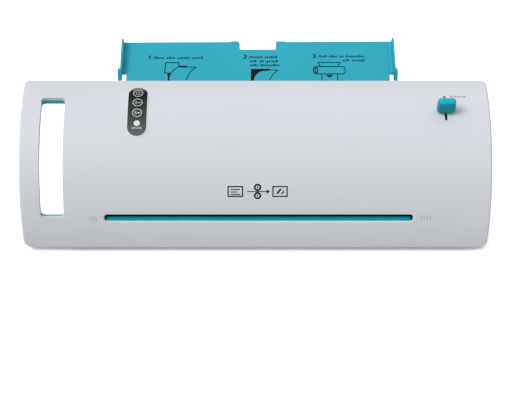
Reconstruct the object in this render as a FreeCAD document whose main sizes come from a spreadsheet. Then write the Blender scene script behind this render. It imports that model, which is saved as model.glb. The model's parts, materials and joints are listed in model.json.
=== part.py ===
import FreeCAD, Part
import ast
import math
import os
import re
import Sketcher

# Desktop pouch laminator, millimetres, +Z up, front (output side) towards -Y, +X to the right.
# Origin: middle of the footprint, on the table. The moulded arc cover is a cylinder sector whose
# axis runs along X through (axis_y, axis_z); angles on it are measured from the front horizontal.
# Every y below is measured from the cover axis, every x and z from the origin.

os.makedirs("parts", exist_ok=True)
Vector = FreeCAD.Vector
Rotation = FreeCAD.Rotation
Placement = FreeCAD.Placement
doc = FreeCAD.newDocument("PouchLaminator")
sheet = doc.addObject("Spreadsheet::Sheet", "Dims")

# Driving dimensions: (alias, value, note).
CELLS = [
    ("half_width", 197.0, "half of the overall width"),
    ("axis_y", -10.3, "arc cover axis, y"),
    ("axis_z", 6.0, "arc cover axis, z"),
    ("cover_radius", 88.0, "outer radius of the arc cover"),
    ("cover_wall", 3.0, "arc cover wall"),
    ("rim_depth", 7.5, "depth of the rim flange, radial"),
    ("rim_wall", 2.4, "thickness of the rim flange"),
    ("front_angle", -2.0, "front lower edge of the cover"),
    ("rear_angle", 107.8, "rear edge of the cover"),
    ("cover_corner", 8.0, "outline corner radius, front"),
    ("rear_corner", 4.0, "outline corner radius, rear"),
    ("cover_edge", 2.0, "outer edge round"),
    ("grip_left", -180.3, "grip opening, left side"),
    ("grip_right", -160.3, "grip opening, right side"),
    ("grip_low", 21.3, "grip opening, front angle"),
    ("grip_high", 91.5, "grip opening, rear angle"),
    ("grip_corner", 3.0, "grip opening corner radius"),
    ("slot_left", -126.8, "output slot, left end"),
    ("slot_right", 132.3, "output slot, right end"),
    ("slot_low", 33.8, "output slot, bottom z"),
    ("slot_high", 39.5, "output slot, top z"),
    ("slot_edge", 1.3, "round on the outer edge of the slot"),
    ("panel_x", -99.0, "control strip centre"),
    ("panel_wide", 16.0, "control strip width"),
    ("panel_low", 67.0, "control strip, front angle"),
    ("panel_high", 99.5, "control strip, rear angle"),
    ("key_radius", 4.5, "key cap radius"),
    ("key_power", 94.3, "power key angle"),
    ("key_thin", 87.5, "thin pouch key angle"),
    ("key_thick", 80.6, "thick pouch key angle"),
    ("lamp_angle", 74.4, "ready lamp angle"),
    ("lamp_radius", 2.6, "ready lamp radius"),
    ("key_gap", 0.25, "gap round a key cap"),
    ("lever_x", 159.5, "release lever plane"),
    ("slit_wide", 2.2, "lever slit width"),
    ("slit_low", 76.2, "lever slit, front angle"),
    ("slit_high", 93.1, "lever slit, rear angle"),
    ("cam_y", -4.36, "cam shaft y from the cover axis"),
    ("cam_z", 55.81, "cam shaft z"),
    ("cam_shaft_radius", 3.0, "cam shaft radius"),
    ("cam_radius", 7.0, "lift cam radius"),
    ("cam_offset", 2.8, "lift cam eccentricity"),
    ("lever_lean", 9.7, "lever lean to the front at rest, degrees"),
    ("lever_reach", 39.9, "shaft to underside of the knob"),
    ("knob_wide", 15.6, "knob width"),
    ("knob_front", 5.2, "knob front face before the blade, at its foot"),
    ("knob_rear", 3.5, "knob rear face behind the blade"),
    ("knob_tall", 13.2, "knob height"),
    ("tray_y", 27.5, "tray front edge, y from the cover axis"),
    ("tray_z", 37.0, "tray front edge, z"),
    ("tray_slope", 12.0, "tray slope, degrees"),
    ("tray_long", 81.5, "tray length along the slope"),
    ("tray_gap", 48.3, "gaps between sheet and hinge arms, along the tray"),
    ("tray_left", -121.9, "tray left side"),
    ("tray_right", 125.5, "tray right side"),
    ("tray_sheet", 2.0, "tray sheet thickness"),
    ("tray_wall", 1.8, "tray side wall thickness"),
    ("tray_side", 6.8, "tray side wall height"),
    ("hinge_along", 16.24, "hinge pin, along the tray from its front edge"),
    ("hinge_below", 12.12, "hinge pin, below the tray surface"),
    ("hinge_radius", 1.6, "hinge pin radius"),
    ("roller_y", -34.0, "roller axes, y from the cover axis"),
    ("lower_z", 25.5, "lower roller axis z"),
    ("upper_z", 51.15, "upper roller axis z at rest"),
    ("roller_radius", 12.5, "roller radius over the silicone"),
    ("core_radius", 8.0, "roller core radius"),
    ("journal_radius", 4.0, "roller journal radius"),
    ("roller_left", -116.3, "silicone left end"),
    ("roller_right", 121.7, "silicone right end"),
    ("bush_radius", 6.5, "bush outside radius"),
    ("running_gap", 0.05, "radial running clearance"),
    ("frame_sheet", 1.5, "side frame sheet"),
    ("left_frame", -129.5, "left side frame, outer face"),
    ("right_frame", 135.5, "right side frame, outer face"),
    ("gear_left", 138.0, "gear train, left face"),
    ("gear_wide", 6.0, "gear face width"),
    ("gear_module", 1.25, "gear module"),
    ("idler_y", -9.0, "idler axis y from the cover axis"),
    ("idler_z", 23.3, "idler axis z"),
    ("pinion_y", 8.0, "pinion axis y from the cover axis"),
    ("pinion_z", 34.0, "pinion axis z"),
    ("motor_y", -4.0, "motor can axis y from the cover axis"),
    ("motor_z", 27.5, "motor can axis z"),
    ("motor_radius", 20.8, "motor can radius"),
    ("motor_long", 21.0, "motor can length"),
    ("floor_z", 3.0, "underside of the lower case"),
    ("floor_wall", 2.5, "lower case floor"),
    ("case_wall", 2.5, "lower case end wall"),
    ("case_left", -159.0, "lower case left side"),
    ("case_right", 188.5, "lower case right side"),
    ("case_front", -79.5, "lower case front, y from the cover axis"),
    ("case_rear", 19.3, "lower case rear, y from the cover axis"),
    ("case_radius", 80.2, "end wall crown radius"),
    ("foot_radius", 7.0, "foot radius"),
]
for row, (alias, value, note) in enumerate(CELLS, start=1):
    sheet.set("A%d" % row, note)
    sheet.set("B%d" % row, str(value))
    sheet.setAlias("B%d" % row, alias)
doc.recompute()


# ---------------------------------------------------------------- sizes
OPERATIONS = {
    ast.Add: lambda a, b: a + b,
    ast.Sub: lambda a, b: a - b,
    ast.Mult: lambda a, b: a * b,
    ast.Div: lambda a, b: a / b,
}


def number(size):
    """Number behind a size: a plain number, or text made of sheet aliases and + - * /."""
    if not isinstance(size, str):
        return float(size)

    def walk(term):
        if isinstance(term, ast.Constant):
            return float(term.value)
        if isinstance(term, ast.Name):
            return float(sheet.get(term.id))
        if isinstance(term, ast.UnaryOp):
            return -walk(term.operand)
        return OPERATIONS[type(term.op)](walk(term.left), walk(term.right))

    return walk(ast.parse(size.strip()).body[0].value)


def bound(size):
    """The same size as text for setExpression."""
    if not isinstance(size, str):
        return repr(float(size))
    return re.sub(r"[A-Za-z_]\w*", lambda match: "Dims." + match.group(0), size)


def span(start, end):
    """Distance between two sizes as text for setExpression."""
    return "(%s) - (%s)" % (bound(end), bound(start))


# ---------------------------------------------------------------- solids and booleans
ALONG_X = Rotation(Vector(0, 1, 0), 90)


def tilt(degrees):
    """Turn about X: +Z leans towards the front, +Y rises."""
    return Rotation(Vector(1, 0, 0), degrees)


def new(kind, name):
    """Adds an object; the running suffix keeps the plain names free for the Labels."""
    return doc.addObject(kind, "%s_%d" % (name, len(doc.Objects)))


def place(item, x, y, z, turn=None):
    """Puts an object at x, y (from the cover axis), z, bound to the sheet."""
    base = Vector(number(x), number(y) + number("axis_y"), number(z))
    item.Placement = Placement(base, turn or Rotation())
    item.setExpression("Placement.Base.x", bound(x))
    item.setExpression("Placement.Base.y", "Dims.axis_y + (%s)" % bound(y))
    item.setExpression("Placement.Base.z", bound(z))
    return item


def put(item, x, y, z, turn=None):
    """Puts an object in the own frame of the piece it belongs to."""
    item.Placement = Placement(Vector(x, y, z), turn or Rotation())
    return item


def box(name, x0, x1, y0, y1, z0, z1):
    item = new("Part::Box", name)
    item.setExpression("Length", span(x0, x1))
    item.setExpression("Width", span(y0, y1))
    item.setExpression("Height", span(z0, z1))
    return place(item, x0, y0, z0)


def block(name, length, width, height):
    """Box at its own origin, to be placed by the caller."""
    item = new("Part::Box", name)
    item.Length, item.Width, item.Height = length, width, height
    return item


def cylinder(name, radius, start, end):
    """Cylinder along its own Z, as long as from start to end, to be placed by the caller."""
    item = new("Part::Cylinder", name)
    item.setExpression("Radius", bound(radius))
    item.setExpression("Height", span(start, end))
    return item


def cylinder_x(name, radius, x0, x1, y, z):
    return place(cylinder(name, radius, x0, x1), x0, y, z, ALONG_X)


def cylinder_y(name, radius, x, y0, y1, z):
    return place(cylinder(name, radius, y0, y1), x, y1, z, tilt(90))


def cylinder_z(name, radius, x, y, z0, z1):
    return place(cylinder(name, radius, z0, z1), x, y, z0)


def cylinder_radial(name, radius, angle, r0, r1, x):
    """Cylinder along the radial direction of the cover at an angle, between two radii."""
    item = cylinder(name, radius, r0, r1)
    turn = math.radians(number(angle))
    y = number("axis_y") - number(r0) * math.cos(turn)
    z = number("axis_z") + number(r0) * math.sin(turn)
    put(item, number(x), y, z, tilt(90 - number(angle)))
    terms = (bound(r0), bound(angle))
    item.setExpression("Placement.Base.x", bound(x))
    item.setExpression("Placement.Base.y", "Dims.axis_y - (%s) * cos((%s) * 1 deg)" % terms)
    item.setExpression("Placement.Base.z", "Dims.axis_z + (%s) * sin((%s) * 1 deg)" % terms)
    return item


def tilted_box(name, angle, x0, x1, t0, t1, r0, r1):
    """Box turned to an angle on the cover.

    x from the control strip's centre, t to the rear along the cover, r from the cover axis."""
    turn = math.radians(number(angle))
    y = -math.cos(turn) * r0 + math.sin(turn) * t0
    z = math.sin(turn) * r0 + math.cos(turn) * t0
    item = block(name, x1 - x0, t1 - t0, r1 - r0)
    return place(item, "panel_x + (%r)" % x0, y, "axis_z + (%r)" % z, tilt(90 - number(angle)))


def cut(name, base, *tools):
    for tool in tools:
        item = new("Part::Cut", name)
        item.Base, item.Tool = base, tool
        base = item
    return base


def fuse(name, *items):
    item = new("Part::MultiFuse", name)
    item.Shapes = list(items)
    item.Refine = True
    return item


def common(name, base, tool):
    item = new("Part::Common", name)
    item.Base, item.Tool = base, tool
    return item


def group(name, *items):
    item = new("Part::Compound", name)
    item.Links = list(items)
    return item


def shape_feature(name, shape):
    """Feature that holds a shape made directly, in the cover frame (y from the cover axis)."""
    item = new("Part::Feature", name)
    item.Shape = shape
    return place(item, 0, 0, 0)


# ---------------------------------------------------------------- edge rounds
def round_edges(name, base, radius_of):
    """Rounds each edge of base for which radius_of(edge) gives a radius."""
    doc.recompute()
    edges = []
    for index, edge in enumerate(base.Shape.Edges, start=1):
        radius = radius_of(edge)
        if radius:
            edges.append((index, radius, radius))
    if not edges:
        raise RuntimeError("no edge to round on " + name)
    item = new("Part::Fillet", name)
    item.Base = base
    item.Edges = edges
    return item


def fillet(name, base, radius, pick):
    """Rounds the edges of base for which pick(edge) holds."""
    return round_edges(name, base, lambda edge: number(radius) if pick(edge) else None)


def every_edge(edge):
    return True


def is_circle(edge):
    return edge.Curve.TypeId == "Part::GeomCircle"


def from_axis(point):
    """Distance of a point from the cover axis."""
    return math.hypot(point.y - number("axis_y"), point.z - number("axis_z"))


def on_radius(edge, radius):
    """Whether five points along an edge all lie on a radius of the cover."""
    first, last = edge.FirstParameter, edge.LastParameter
    points = [edge.valueAt(first + (last - first) * k / 4.0) for k in range(5)]
    return all(abs(from_axis(point) - number(radius)) < 0.01 for point in points)


def sector(name, r0, r1, angle0, angle1, x0, x1, corner=None, rear=None):
    """Slice of a tube round the cover axis: radii r0..r1, two angles, between two x values.

    corner rounds its four corners; rear, if given, is the radius of the two at the rear."""
    outer = cylinder(name, r1, x0, x1)
    outer.setExpression("Angle", span(angle0, angle1))
    # local x towards the front, local y up, local z towards -X, then turned to the start angle
    upright = Rotation(Vector(0, -1, 0), Vector(0, 0, 1), Vector(-1, 0, 0), "ZXY")
    turn = upright.multiply(Rotation(Vector(0, 0, 1), number(angle0)))
    place(outer, x1, 0, "axis_z", turn)
    bore = cylinder_x(name + "_bore", r0, "(%s) - 1" % x0, "(%s) + 1" % x1, 0, "axis_z")
    ring = cut(name, outer, bore)
    if corner is None:
        return ring
    front_radius = number(corner)
    rear_radius = front_radius if rear is None else number(rear)
    wall = number(r1) - number(r0)
    middle = (number(angle0) + number(angle1)) / 2

    def corner_radius(edge):
        if edge.Curve.TypeId != "Part::GeomLine" or len(edge.Vertexes) != 2:
            return None
        start, end = (vertex.Point for vertex in edge.Vertexes)
        along = end.sub(start)
        if abs(along.x) >= 1e-6 or abs(along.Length - wall) >= 1e-4:
            return None
        angle = math.atan2(start.z - number("axis_z"), number("axis_y") - start.y)
        return front_radius if math.degrees(angle) < middle else rear_radius

    return round_edges(name, ring, corner_radius)


# ---------------------------------------------------------------- bodies from sketches
def new_sketch(body, role):
    sketch = body.newObject("Sketcher::SketchObject", "Sketch")
    plane = [feature for feature in body.Origin.OriginFeatures if feature.Role == role][0]
    sketch.AttachmentSupport = [(plane, "")]
    sketch.MapMode = "FlatFace"
    return sketch


def pin_point(sketch, geometry, vertex, point):
    """Ties a sketch point to the sketch origin; sizes given as text are bound to the sheet."""
    for kind, size in zip(("DistanceX", "DistanceY"), point):
        rule = Sketcher.Constraint(kind, -1, 1, geometry, vertex, number(size))
        index = sketch.addConstraint(rule)
        if isinstance(size, str):
            sketch.setExpression("Constraints[%d]" % index, bound(size))


def draw_outline(sketch, outline):
    first = sketch.GeometryCount
    count = len(outline)
    points = [Vector(number(u), number(v), 0) for u, v in outline]
    for i in range(count):
        sketch.addGeometry(Part.LineSegment(points[i], points[(i + 1) % count]), False)
    for i in range(count):
        following = first + (i + 1) % count
        sketch.addConstraint(Sketcher.Constraint("Coincident", first + i, 2, following, 1))
    for i in range(count):
        pin_point(sketch, first + i, 1, outline[i])


def draw_circle(sketch, u, v, radius):
    centre = Vector(number(u), number(v), 0)
    circle = Part.Circle(centre, Vector(0, 0, 1), number(radius))
    geometry = sketch.addGeometry(circle, False)
    index = sketch.addConstraint(Sketcher.Constraint("Radius", geometry, number(radius)))
    sketch.setExpression("Constraints[%d]" % index, bound(radius))
    pin_point(sketch, geometry, 3, (u, v))


def padded(name, role, outline, length, pockets=(), circles=()):
    """Body padded from an outline of (u, v), with pockets and (u, v, radius) holes through it.

    XY_Plane: u=x v=y, towards +Z. YZ_Plane: u=y v=z, towards +X."""
    body = new("PartDesign::Body", name)
    profile = new_sketch(body, role)
    draw_outline(profile, outline)
    pad = body.newObject("PartDesign::Pad", "Pad")
    pad.Profile = profile
    pad.setExpression("Length", bound(length))
    doc.recompute()
    if pockets or circles:
        holes = new_sketch(body, role)
        for pocket_outline in pockets:
            draw_outline(holes, pocket_outline)
        for circle in circles:
            draw_circle(holes, *circle)
        pocket = body.newObject("PartDesign::Pocket", "Pocket")
        pocket.Profile = holes
        pocket.Type = "ThroughAll"
        pocket.Midplane = True
        doc.recompute()
        if not pocket.Shape.isValid() or pocket.Shape.Volume > pad.Shape.Volume - 1e-3:
            raise RuntimeError("pocket cut nothing on " + name)
        body.Tip = pocket
    return body


def profile_x(name, x0, length, outline, **holes):
    """Body of a (y, z) outline, from x0 to the right."""
    return place(padded(name, "YZ_Plane", outline, length, **holes), x0, 0, 0)


def turned(name, profile, y, z):
    """Body revolved about its X axis from a closed (x, radius) outline, put at y, z."""
    body = new("PartDesign::Body", name)
    sketch = new_sketch(body, "XY_Plane")
    draw_outline(sketch, profile)
    revolution = body.newObject("PartDesign::Revolution", "Revolution")
    revolution.Profile = sketch
    revolution.ReferenceAxis = (sketch, ["H_Axis"])
    revolution.Angle = 360.0
    return place(body, 0, y, z)


def pipe(points, radius):
    """Round cable or wire along a smooth curve through (x, y, z) points."""
    stations = [Vector(*point) for point in points]
    curve = Part.BSplineCurve()
    curve.interpolate(stations)
    path = Part.Wire([curve.toShape()])
    tangent = curve.tangent(curve.FirstParameter)[0]
    section = Part.Wire([Part.makeCircle(radius, stations[0], tangent)])
    swept = path.makePipeShell([section], True, True)
    # the sweep may come back as a closed shell
    return swept if swept.ShapeType == "Solid" else Part.Solid(swept)


# ---------------------------------------------------------------- arc cover
# Screws that join the case to the cover's posts: (x, y).
POSTS = [(-148.0, -64.0), (-148.0, 10.0), (180.0, -64.0), (180.0, 10.0)]
POST_RADIUS = 4.0
POST_FOOT_Z = 8.6
POST_BORE_RADIUS = 1.3
RIM_RADIUS = "cover_radius - rim_depth"
INNER_RADIUS = "cover_radius - cover_wall"
HALF_SLOT = "(slot_high - slot_low) / 2"
KEYS = ("key_power", "key_thin", "key_thick")
BOARD_BOSS_RADIUS = 2.6
# Bosses under the cover that carry the control board: (angle, inner radius on the cover).
BOARD_BOSSES = [(101.5, 79.0), (67.8, 80.4)]


def screw_post(x, y):
    """Post whose top ends inside the cover wall."""
    reach = abs(y) + POST_RADIUS
    top = number("axis_z") + math.sqrt(number("cover_radius - 1.6") ** 2 - reach ** 2)
    return cylinder_z("cover_post", POST_RADIUS, x, y, POST_FOOT_Z, top)


def slot_prism(name, inset, y0, y1):
    """Round-ended bar along the output slot, smaller than the slot by an inset."""
    left, right = "slot_left + " + HALF_SLOT, "slot_right - " + HALF_SLOT
    radius = "%s - %r" % (HALF_SLOT, inset)
    middle_z = "(slot_high + slot_low) / 2"
    return fuse(name,
                box(name, left, right, y0, y1, "slot_low + %r" % inset, "slot_high - %r" % inset),
                cylinder_y(name, radius, left, y0, y1, middle_z),
                cylinder_y(name, radius, right, y0, y1, middle_z))


def on_slot_edge(edge):
    """Whether an edge is where the slot breaks through the outside of the cover."""
    bounds = edge.BoundBox
    margin = 0.5
    return (on_radius(edge, "cover_radius")
            and bounds.ZMin > number("slot_low") - margin
            and bounds.ZMax < number("slot_high") + margin
            and bounds.XMin > number("slot_left") - margin
            and bounds.XMax < number("slot_right") + margin)


def strip_sector(name, r0, r1, angle_margin, x_margin, corner_margin):
    """Sector with the control strip's outline, grown by the margins."""
    return sector(name, r0, r1,
                  "panel_low - %r" % angle_margin, "panel_high + %r" % angle_margin,
                  "panel_x - panel_wide / 2 - %r" % x_margin,
                  "panel_x + panel_wide / 2 + %r" % x_margin,
                  "panel_wide / 2 + (%r)" % corner_margin)


def lamp_and_key_holes():
    lamp = cylinder_radial("lamp_hole", "lamp_radius + 0.1", "lamp_angle", 80, 92, "panel_x")
    keys = [cylinder_radial("key_hole", "key_radius + key_gap", key, 80, 92, "panel_x")
            for key in KEYS]
    return [lamp] + keys


def cover_blank():
    """Hollow cover with its rim, posts and bosses, before the openings."""
    ring = sector("cover", RIM_RADIUS, "cover_radius", "front_angle", "rear_angle",
                  "-half_width", "half_width", "cover_corner", "rear_corner")
    rounded = fillet("cover_round", ring, "cover_edge",
                     lambda edge: on_radius(edge, "cover_radius"))
    inside = sector("cover_pocket", RIM_RADIUS + " - 2", INNER_RADIUS,
                    "front_angle + 1.6", "rear_angle - 1.6",
                    "-half_width + rim_wall", "half_width - rim_wall",
                    "cover_corner - rim_wall", "rear_corner - rim_wall")
    hollow = cut("cover_hollow", rounded, inside)
    # flange down the left side of the grip opening
    grip_flange = sector("grip_flange", RIM_RADIUS, INNER_RADIUS + " + 0.5",
                         "grip_low - 2", "grip_high + 2",
                         "grip_left - rim_wall", "grip_left + 0.5")
    bosses = [cylinder_radial("board_boss", BOARD_BOSS_RADIUS, angle, start, 86.0, "panel_x")
              for angle, start in BOARD_BOSSES]
    posts = [screw_post(x, y) for x, y in POSTS]
    return fuse("cover_solid", hollow, grip_flange, *bosses, *posts)


def upper_shell():
    slotted = cut("slotted", cover_blank(), slot_prism("slot", 0.0, -100, -60))
    slot_round = fillet("slot_round", slotted, "slot_edge", on_slot_edge)
    grip_hole = sector("grip_hole", 70, 100, "grip_low", "grip_high",
                       "grip_left", "grip_right", "grip_corner")
    slit = sector("lever_slit", 80, 95, "slit_low", "slit_high",
                  "lever_x - slit_wide / 2", "lever_x + slit_wide / 2", 1.0)
    seat = strip_sector("strip_seat", "cover_radius - 1.2", "cover_radius + 5",
                        angle_margin=0.55, x_margin=0.8, corner_margin=0.75)
    bores = [cylinder_z("post_bore", POST_BORE_RADIUS, x, y, 8.0, 24.0) for x, y in POSTS]
    return cut("upper_shell", slot_round, grip_hole, slit, seat, *lamp_and_key_holes(), *bores)


def handle_liner():
    """Liner under the left wing of the cover."""
    liner = sector("liner", RIM_RADIUS + " + 0.2", INNER_RADIUS + " - 0.1", 0.6, 104.0,
                   "-half_width + rim_wall + 0.2", -152.3, 5.0)
    opening = sector("liner_hole", 70, 90, "grip_low - 0.9", "grip_high",
                     "grip_left + 0.3", "grip_right", "grip_corner")
    # clears the cover's grip flange
    notch = sector("liner_notch", 70, 90, "grip_low - 2.3", "grip_high + 2.3",
                   "grip_left - rim_wall - 0.2", "grip_left + 0.6")
    return cut("handle_liner", liner, opening, notch)


# ---------------------------------------------------------------- lower case
FRAME_FOOT_LONG = 12
LEFT_FOOT_Y = (-58, 0)
RIGHT_FOOT_Y = (-50, -12)
BLOCK_TOP_Z = 6.6
# Floor blocks under the side frames: (left x, right x, front y).
FLOOR_BLOCKS = ([("left_frame - 7", "left_frame + 1.5", y) for y in LEFT_FOOT_Y]
                + [("right_frame - 7.5", "right_frame", y) for y in RIGHT_FOOT_Y])
# Spacers under the main board: (x, y); the first two are also the board's holes.
SPACERS = [(-151.5, -52.5), (-140.2, 0.0), (-151.5, 0.0), (-140.2, -52.5)]
BOARD_Z = 12.0
VENT_COUNT, VENT_PITCH, VENT_WIDE, VENT_START = 12, 20.0, 3.0, -110.0


def end_wall(x0, x1):
    """Upright wall with an arc crown."""
    slab = box("end_block", x0, x1, "case_front", "case_rear", "floor_z", 90)
    return common("end_wall", slab, cylinder_x("end_crown", "case_radius", x0, x1, 0, "axis_z"))


def floor_bar(name, y0, y1, top):
    """Bar across the whole case, from the underside up to top."""
    return box(name, "case_left", "case_right", y0, y1, "floor_z", top)


def lower_case():
    pads = [cylinder_z("post_pad", 6.0, x, y, 3.0, 8.4) for x, y in POSTS]
    blocks = [box("floor_block", x0, x1, y, y + FRAME_FOOT_LONG, "floor_z + 1", BLOCK_TOP_Z)
              for x0, x1, y in FLOOR_BLOCKS]
    spacers = [cylinder_z("board_spacer", 3.0, x, y, "floor_z + 1", BOARD_Z)
               for x, y in SPACERS]
    case = fuse("case",
                floor_bar("floor", "case_front", "case_rear", "floor_z + floor_wall"),
                end_wall("case_left", "case_left + case_wall"),
                end_wall("case_right - case_wall", "case_right"),
                floor_bar("front_rib", "case_front", "case_front + 2", 11),
                floor_bar("rear_rib", "case_rear - 2", "case_rear", 8.5),
                *pads, *blocks, *spacers)
    holes = []
    for x, y in POSTS:
        holes.append(cylinder_z("head_bore", 3.4, x, y, 2.0, 5.6))
        holes.append(cylinder_z("screw_bore", 1.7, x, y, 2.0, 9.0))
    starts = [VENT_START + VENT_PITCH * k for k in range(VENT_COUNT)]
    vents = group("floor_vents", *[box("floor_vent", x, x + VENT_WIDE, -58, -12, 0, 7)
                                   for x in starts])
    return cut("lower_case", case, *holes, vents)


# ---------------------------------------------------------------- rear panel
SLOPE = math.radians(number("tray_slope"))
HINGE_Y = (number("tray_y") + number("hinge_along") * math.cos(SLOPE)
           + number("hinge_below") * math.sin(SLOPE))
HINGE_Z = (number("tray_z") + number("hinge_along") * math.sin(SLOPE)
           - number("hinge_below") * math.cos(SLOPE))
PANEL_FRONT, PANEL_REAR = 19.5, 22.0
# y range that passes right through the panel.
PANEL_THROUGH = (18, 24)
LOUVRE_PITCH, LOUVRE_WIDE = 8.0, 3.0
LOUVRE_Z = (50.0, 74.0)
# Hinge lugs for the tray: (left x, right x).
LUGS = [(-119.6, -116.2), (120.8, 124.2)]
LUG_RADIUS = 4.5
# Rear panel screws: (x, z).
PANEL_SCREWS = [(-150.0, 76.0), (182.0, 76.0), (-150.0, 12.0), (182.0, 12.0)]
CORD_X, CORD_Z = 172.0, 16.0
RELIEF_RADIUS = 5.5
# Side view of the web under a lug: (y, z).
LUG_GUSSET = [(21.0, 8.0), (26.0, 8.0), (40.0, HINGE_Z - 4.4), (40.0, HINGE_Z), (21.0, HINGE_Z)]


def louvre_row(name, start, count):
    starts = [start + LOUVRE_PITCH * k for k in range(count)]
    return group(name, *[box("louvre", x, x + LOUVRE_WIDE, *PANEL_THROUGH, *LOUVRE_Z)
                         for x in starts])


def tray_lug(x0, x1):
    return fuse("lug",
                box("lug_arm", x0, x1, 21.0, HINGE_Y, HINGE_Z - LUG_RADIUS, HINGE_Z + 4.0),
                cylinder_x("lug_eye", LUG_RADIUS, x0, x1, HINGE_Y, HINGE_Z),
                profile_x("lug_gusset", x0, x1 - x0, LUG_GUSSET))


def rear_panel():
    plate = box("panel", "case_left + 2.8", "case_right - 2.8", PANEL_FRONT, PANEL_REAR,
                5.7, 82.4)
    pouch_opening = box("panel_open", -124.2, 128.8, *PANEL_THROUGH, 33.0, 43.6)
    screw_holes = [cylinder_y("panel_screw_hole", 1.7, x, *PANEL_THROUGH, z)
                   for x, z in PANEL_SCREWS]
    pierced = cut("panel_cut", plate, pouch_opening,
                  louvre_row("louvres", -112.0, 29), louvre_row("right_louvres", 138.0, 5),
                  cylinder_y("cord_hole", RELIEF_RADIUS, CORD_X, *PANEL_THROUGH, CORD_Z),
                  *screw_holes)
    lugs = [tray_lug(x0, x1) for x0, x1 in LUGS]
    bores = [cylinder_x("lug_bore", "hinge_radius", x0 - 1, x1 + 1, HINGE_Y, HINGE_Z)
             for x0, x1 in LUGS]
    return cut("rear_panel", fuse("panel_lugs", pierced, *lugs), *bores)


# ---------------------------------------------------------------- pouch guides
INPUT_GUIDE_LEFT, INPUT_GUIDE_LONG = -121.0, 245.0
OUTPUT_GUIDE_LEFT, OUTPUT_GUIDE_LONG = -125.6, 256.6
# Side views of the guides: (y, z).
INPUT_LOWER = [(-18.0, 33.6), (23.3, 33.6), (23.3, 36.6), (22.3, 37.2), (-17.0, 37.2),
               (-18.0, 36.6)]
INPUT_LOWER_HOLLOW = [(-14.0, 32.0), (17.5, 32.0), (17.5, 35.6), (-14.0, 35.6)]
INPUT_UPPER = [(-18.0, 40.2), (-4.0, 41.5), (23.3, 42.2), (23.3, 43.4), (19.2, 43.4),
               (-18.0, 42.0)]
OUTPUT_LOWER = [(-46.0, 33.4), (-78.8, 33.4), (-79.3, 33.9), (-79.6, 33.9), (-79.6, 35.3),
                (-67.0, 35.3), (-58.0, 37.1), (-47.0, 37.1), (-46.0, 36.4)]
OUTPUT_UPPER = [(-46.0, 39.8), (-75.2, 40.1), (-75.5, 42.9), (-74.0, 42.9), (-73.7, 41.6),
                (-46.0, 41.6)]


def input_guide_lower():
    return profile_x("input_guide_lower", INPUT_GUIDE_LEFT, INPUT_GUIDE_LONG, INPUT_LOWER,
                     pockets=[INPUT_LOWER_HOLLOW])


def input_guide_upper():
    return profile_x("input_guide_upper", INPUT_GUIDE_LEFT, INPUT_GUIDE_LONG, INPUT_UPPER)


def output_guide_lower():
    """Guide with a lip on the slot's floor; the lip's ends follow the slot's rounded ends."""
    guide = profile_x("lip_lower", OUTPUT_GUIDE_LEFT, OUTPUT_GUIDE_LONG, OUTPUT_LOWER)
    bar = box("lip_bar", -126.2, 131.7, -82.1, -79.4, "slot_low + 0.1", 35.3)
    lip = common("lip_front", bar, slot_prism("lip_ends", 0.08, -90, -78))
    return fuse("output_guide_lower", guide, lip)


def output_guide_upper():
    return profile_x("output_guide_upper", OUTPUT_GUIDE_LEFT, OUTPUT_GUIDE_LONG, OUTPUT_UPPER)


# ---------------------------------------------------------------- side frames
# Side view of a frame and of its bearing window: (y, z).
FRAME_OUTLINE = [(-60.0, 6.6), (14.0, 6.6), (14.0, 76.0), (-18.0, 76.0), (-18.0, 72.5),
                 (-50.0, 72.5), (-50.0, 60.0), (-60.0, 44.0)]
FRAME_WINDOW = [(-45.0, 41.0), (-23.0, 41.0), (-23.0, 70.0), (-45.0, 70.0)]
# Tie rods: (y, z).
RODS = [(-55.0, 12.5), (9.0, 12.0), (9.0, 68.5)]
ROD_RADIUS = 3.5
SCREW_RADIUS, SCREW_HEAD_RADIUS = 1.5, 3.0
LEFT_INNER, RIGHT_INNER = "left_frame + frame_sheet", "right_frame - frame_sheet"


def side_frame(name, sheet_x, tab_x, foot_x, foot_front, extra_circles=()):
    """Sheet with a spring seat tab folded inwards over the window and two feet to its left."""
    circles = [("roller_y", "lower_z", "bush_radius"),
               ("cam_y", "cam_z", "cam_shaft_radius + running_gap")]
    circles += [(y, z, 1.6) for y, z in RODS]
    circles += list(extra_circles)
    plate = profile_x(name + "_sheet", sheet_x, "frame_sheet", FRAME_OUTLINE,
                      pockets=[FRAME_WINDOW], circles=circles)
    tab = box("spring_tab", *tab_x, -44, -24, 71.0, 72.5)
    feet = [box("frame_foot", *foot_x, y, y + FRAME_FOOT_LONG, BLOCK_TOP_Z, 8.1)
            for y in foot_front]
    return fuse(name, plate, tab, *feet)


def side_frame_left():
    return side_frame("side_frame_left", "left_frame", ("left_frame", "left_frame + 11"),
                      ("left_frame - 7", "left_frame + 0.5"), LEFT_FOOT_Y)


def side_frame_right():
    return side_frame("side_frame_right", RIGHT_INNER, ("right_frame - 11", "right_frame"),
                      ("right_frame - 7.5", "right_frame - 0.5"), RIGHT_FOOT_Y,
                      extra_circles=[("idler_y", "idler_z", 3.0)])


def tie_rod(y, z):
    rod = cylinder_x("tie_rod", ROD_RADIUS, LEFT_INNER, RIGHT_INNER, y, z)
    bores = [cylinder_x("rod_bore", SCREW_RADIUS, x0, x1, y, z)
             for x0, x1 in ((LEFT_INNER + " - 1", LEFT_INNER + " + 9"),
                            (RIGHT_INNER + " - 9", RIGHT_INNER + " + 1"))]
    return cut("tie_rod", rod, *bores)


def tie_rods():
    return group("tie_rods", *[tie_rod(y, z) for y, z in RODS])


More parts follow.
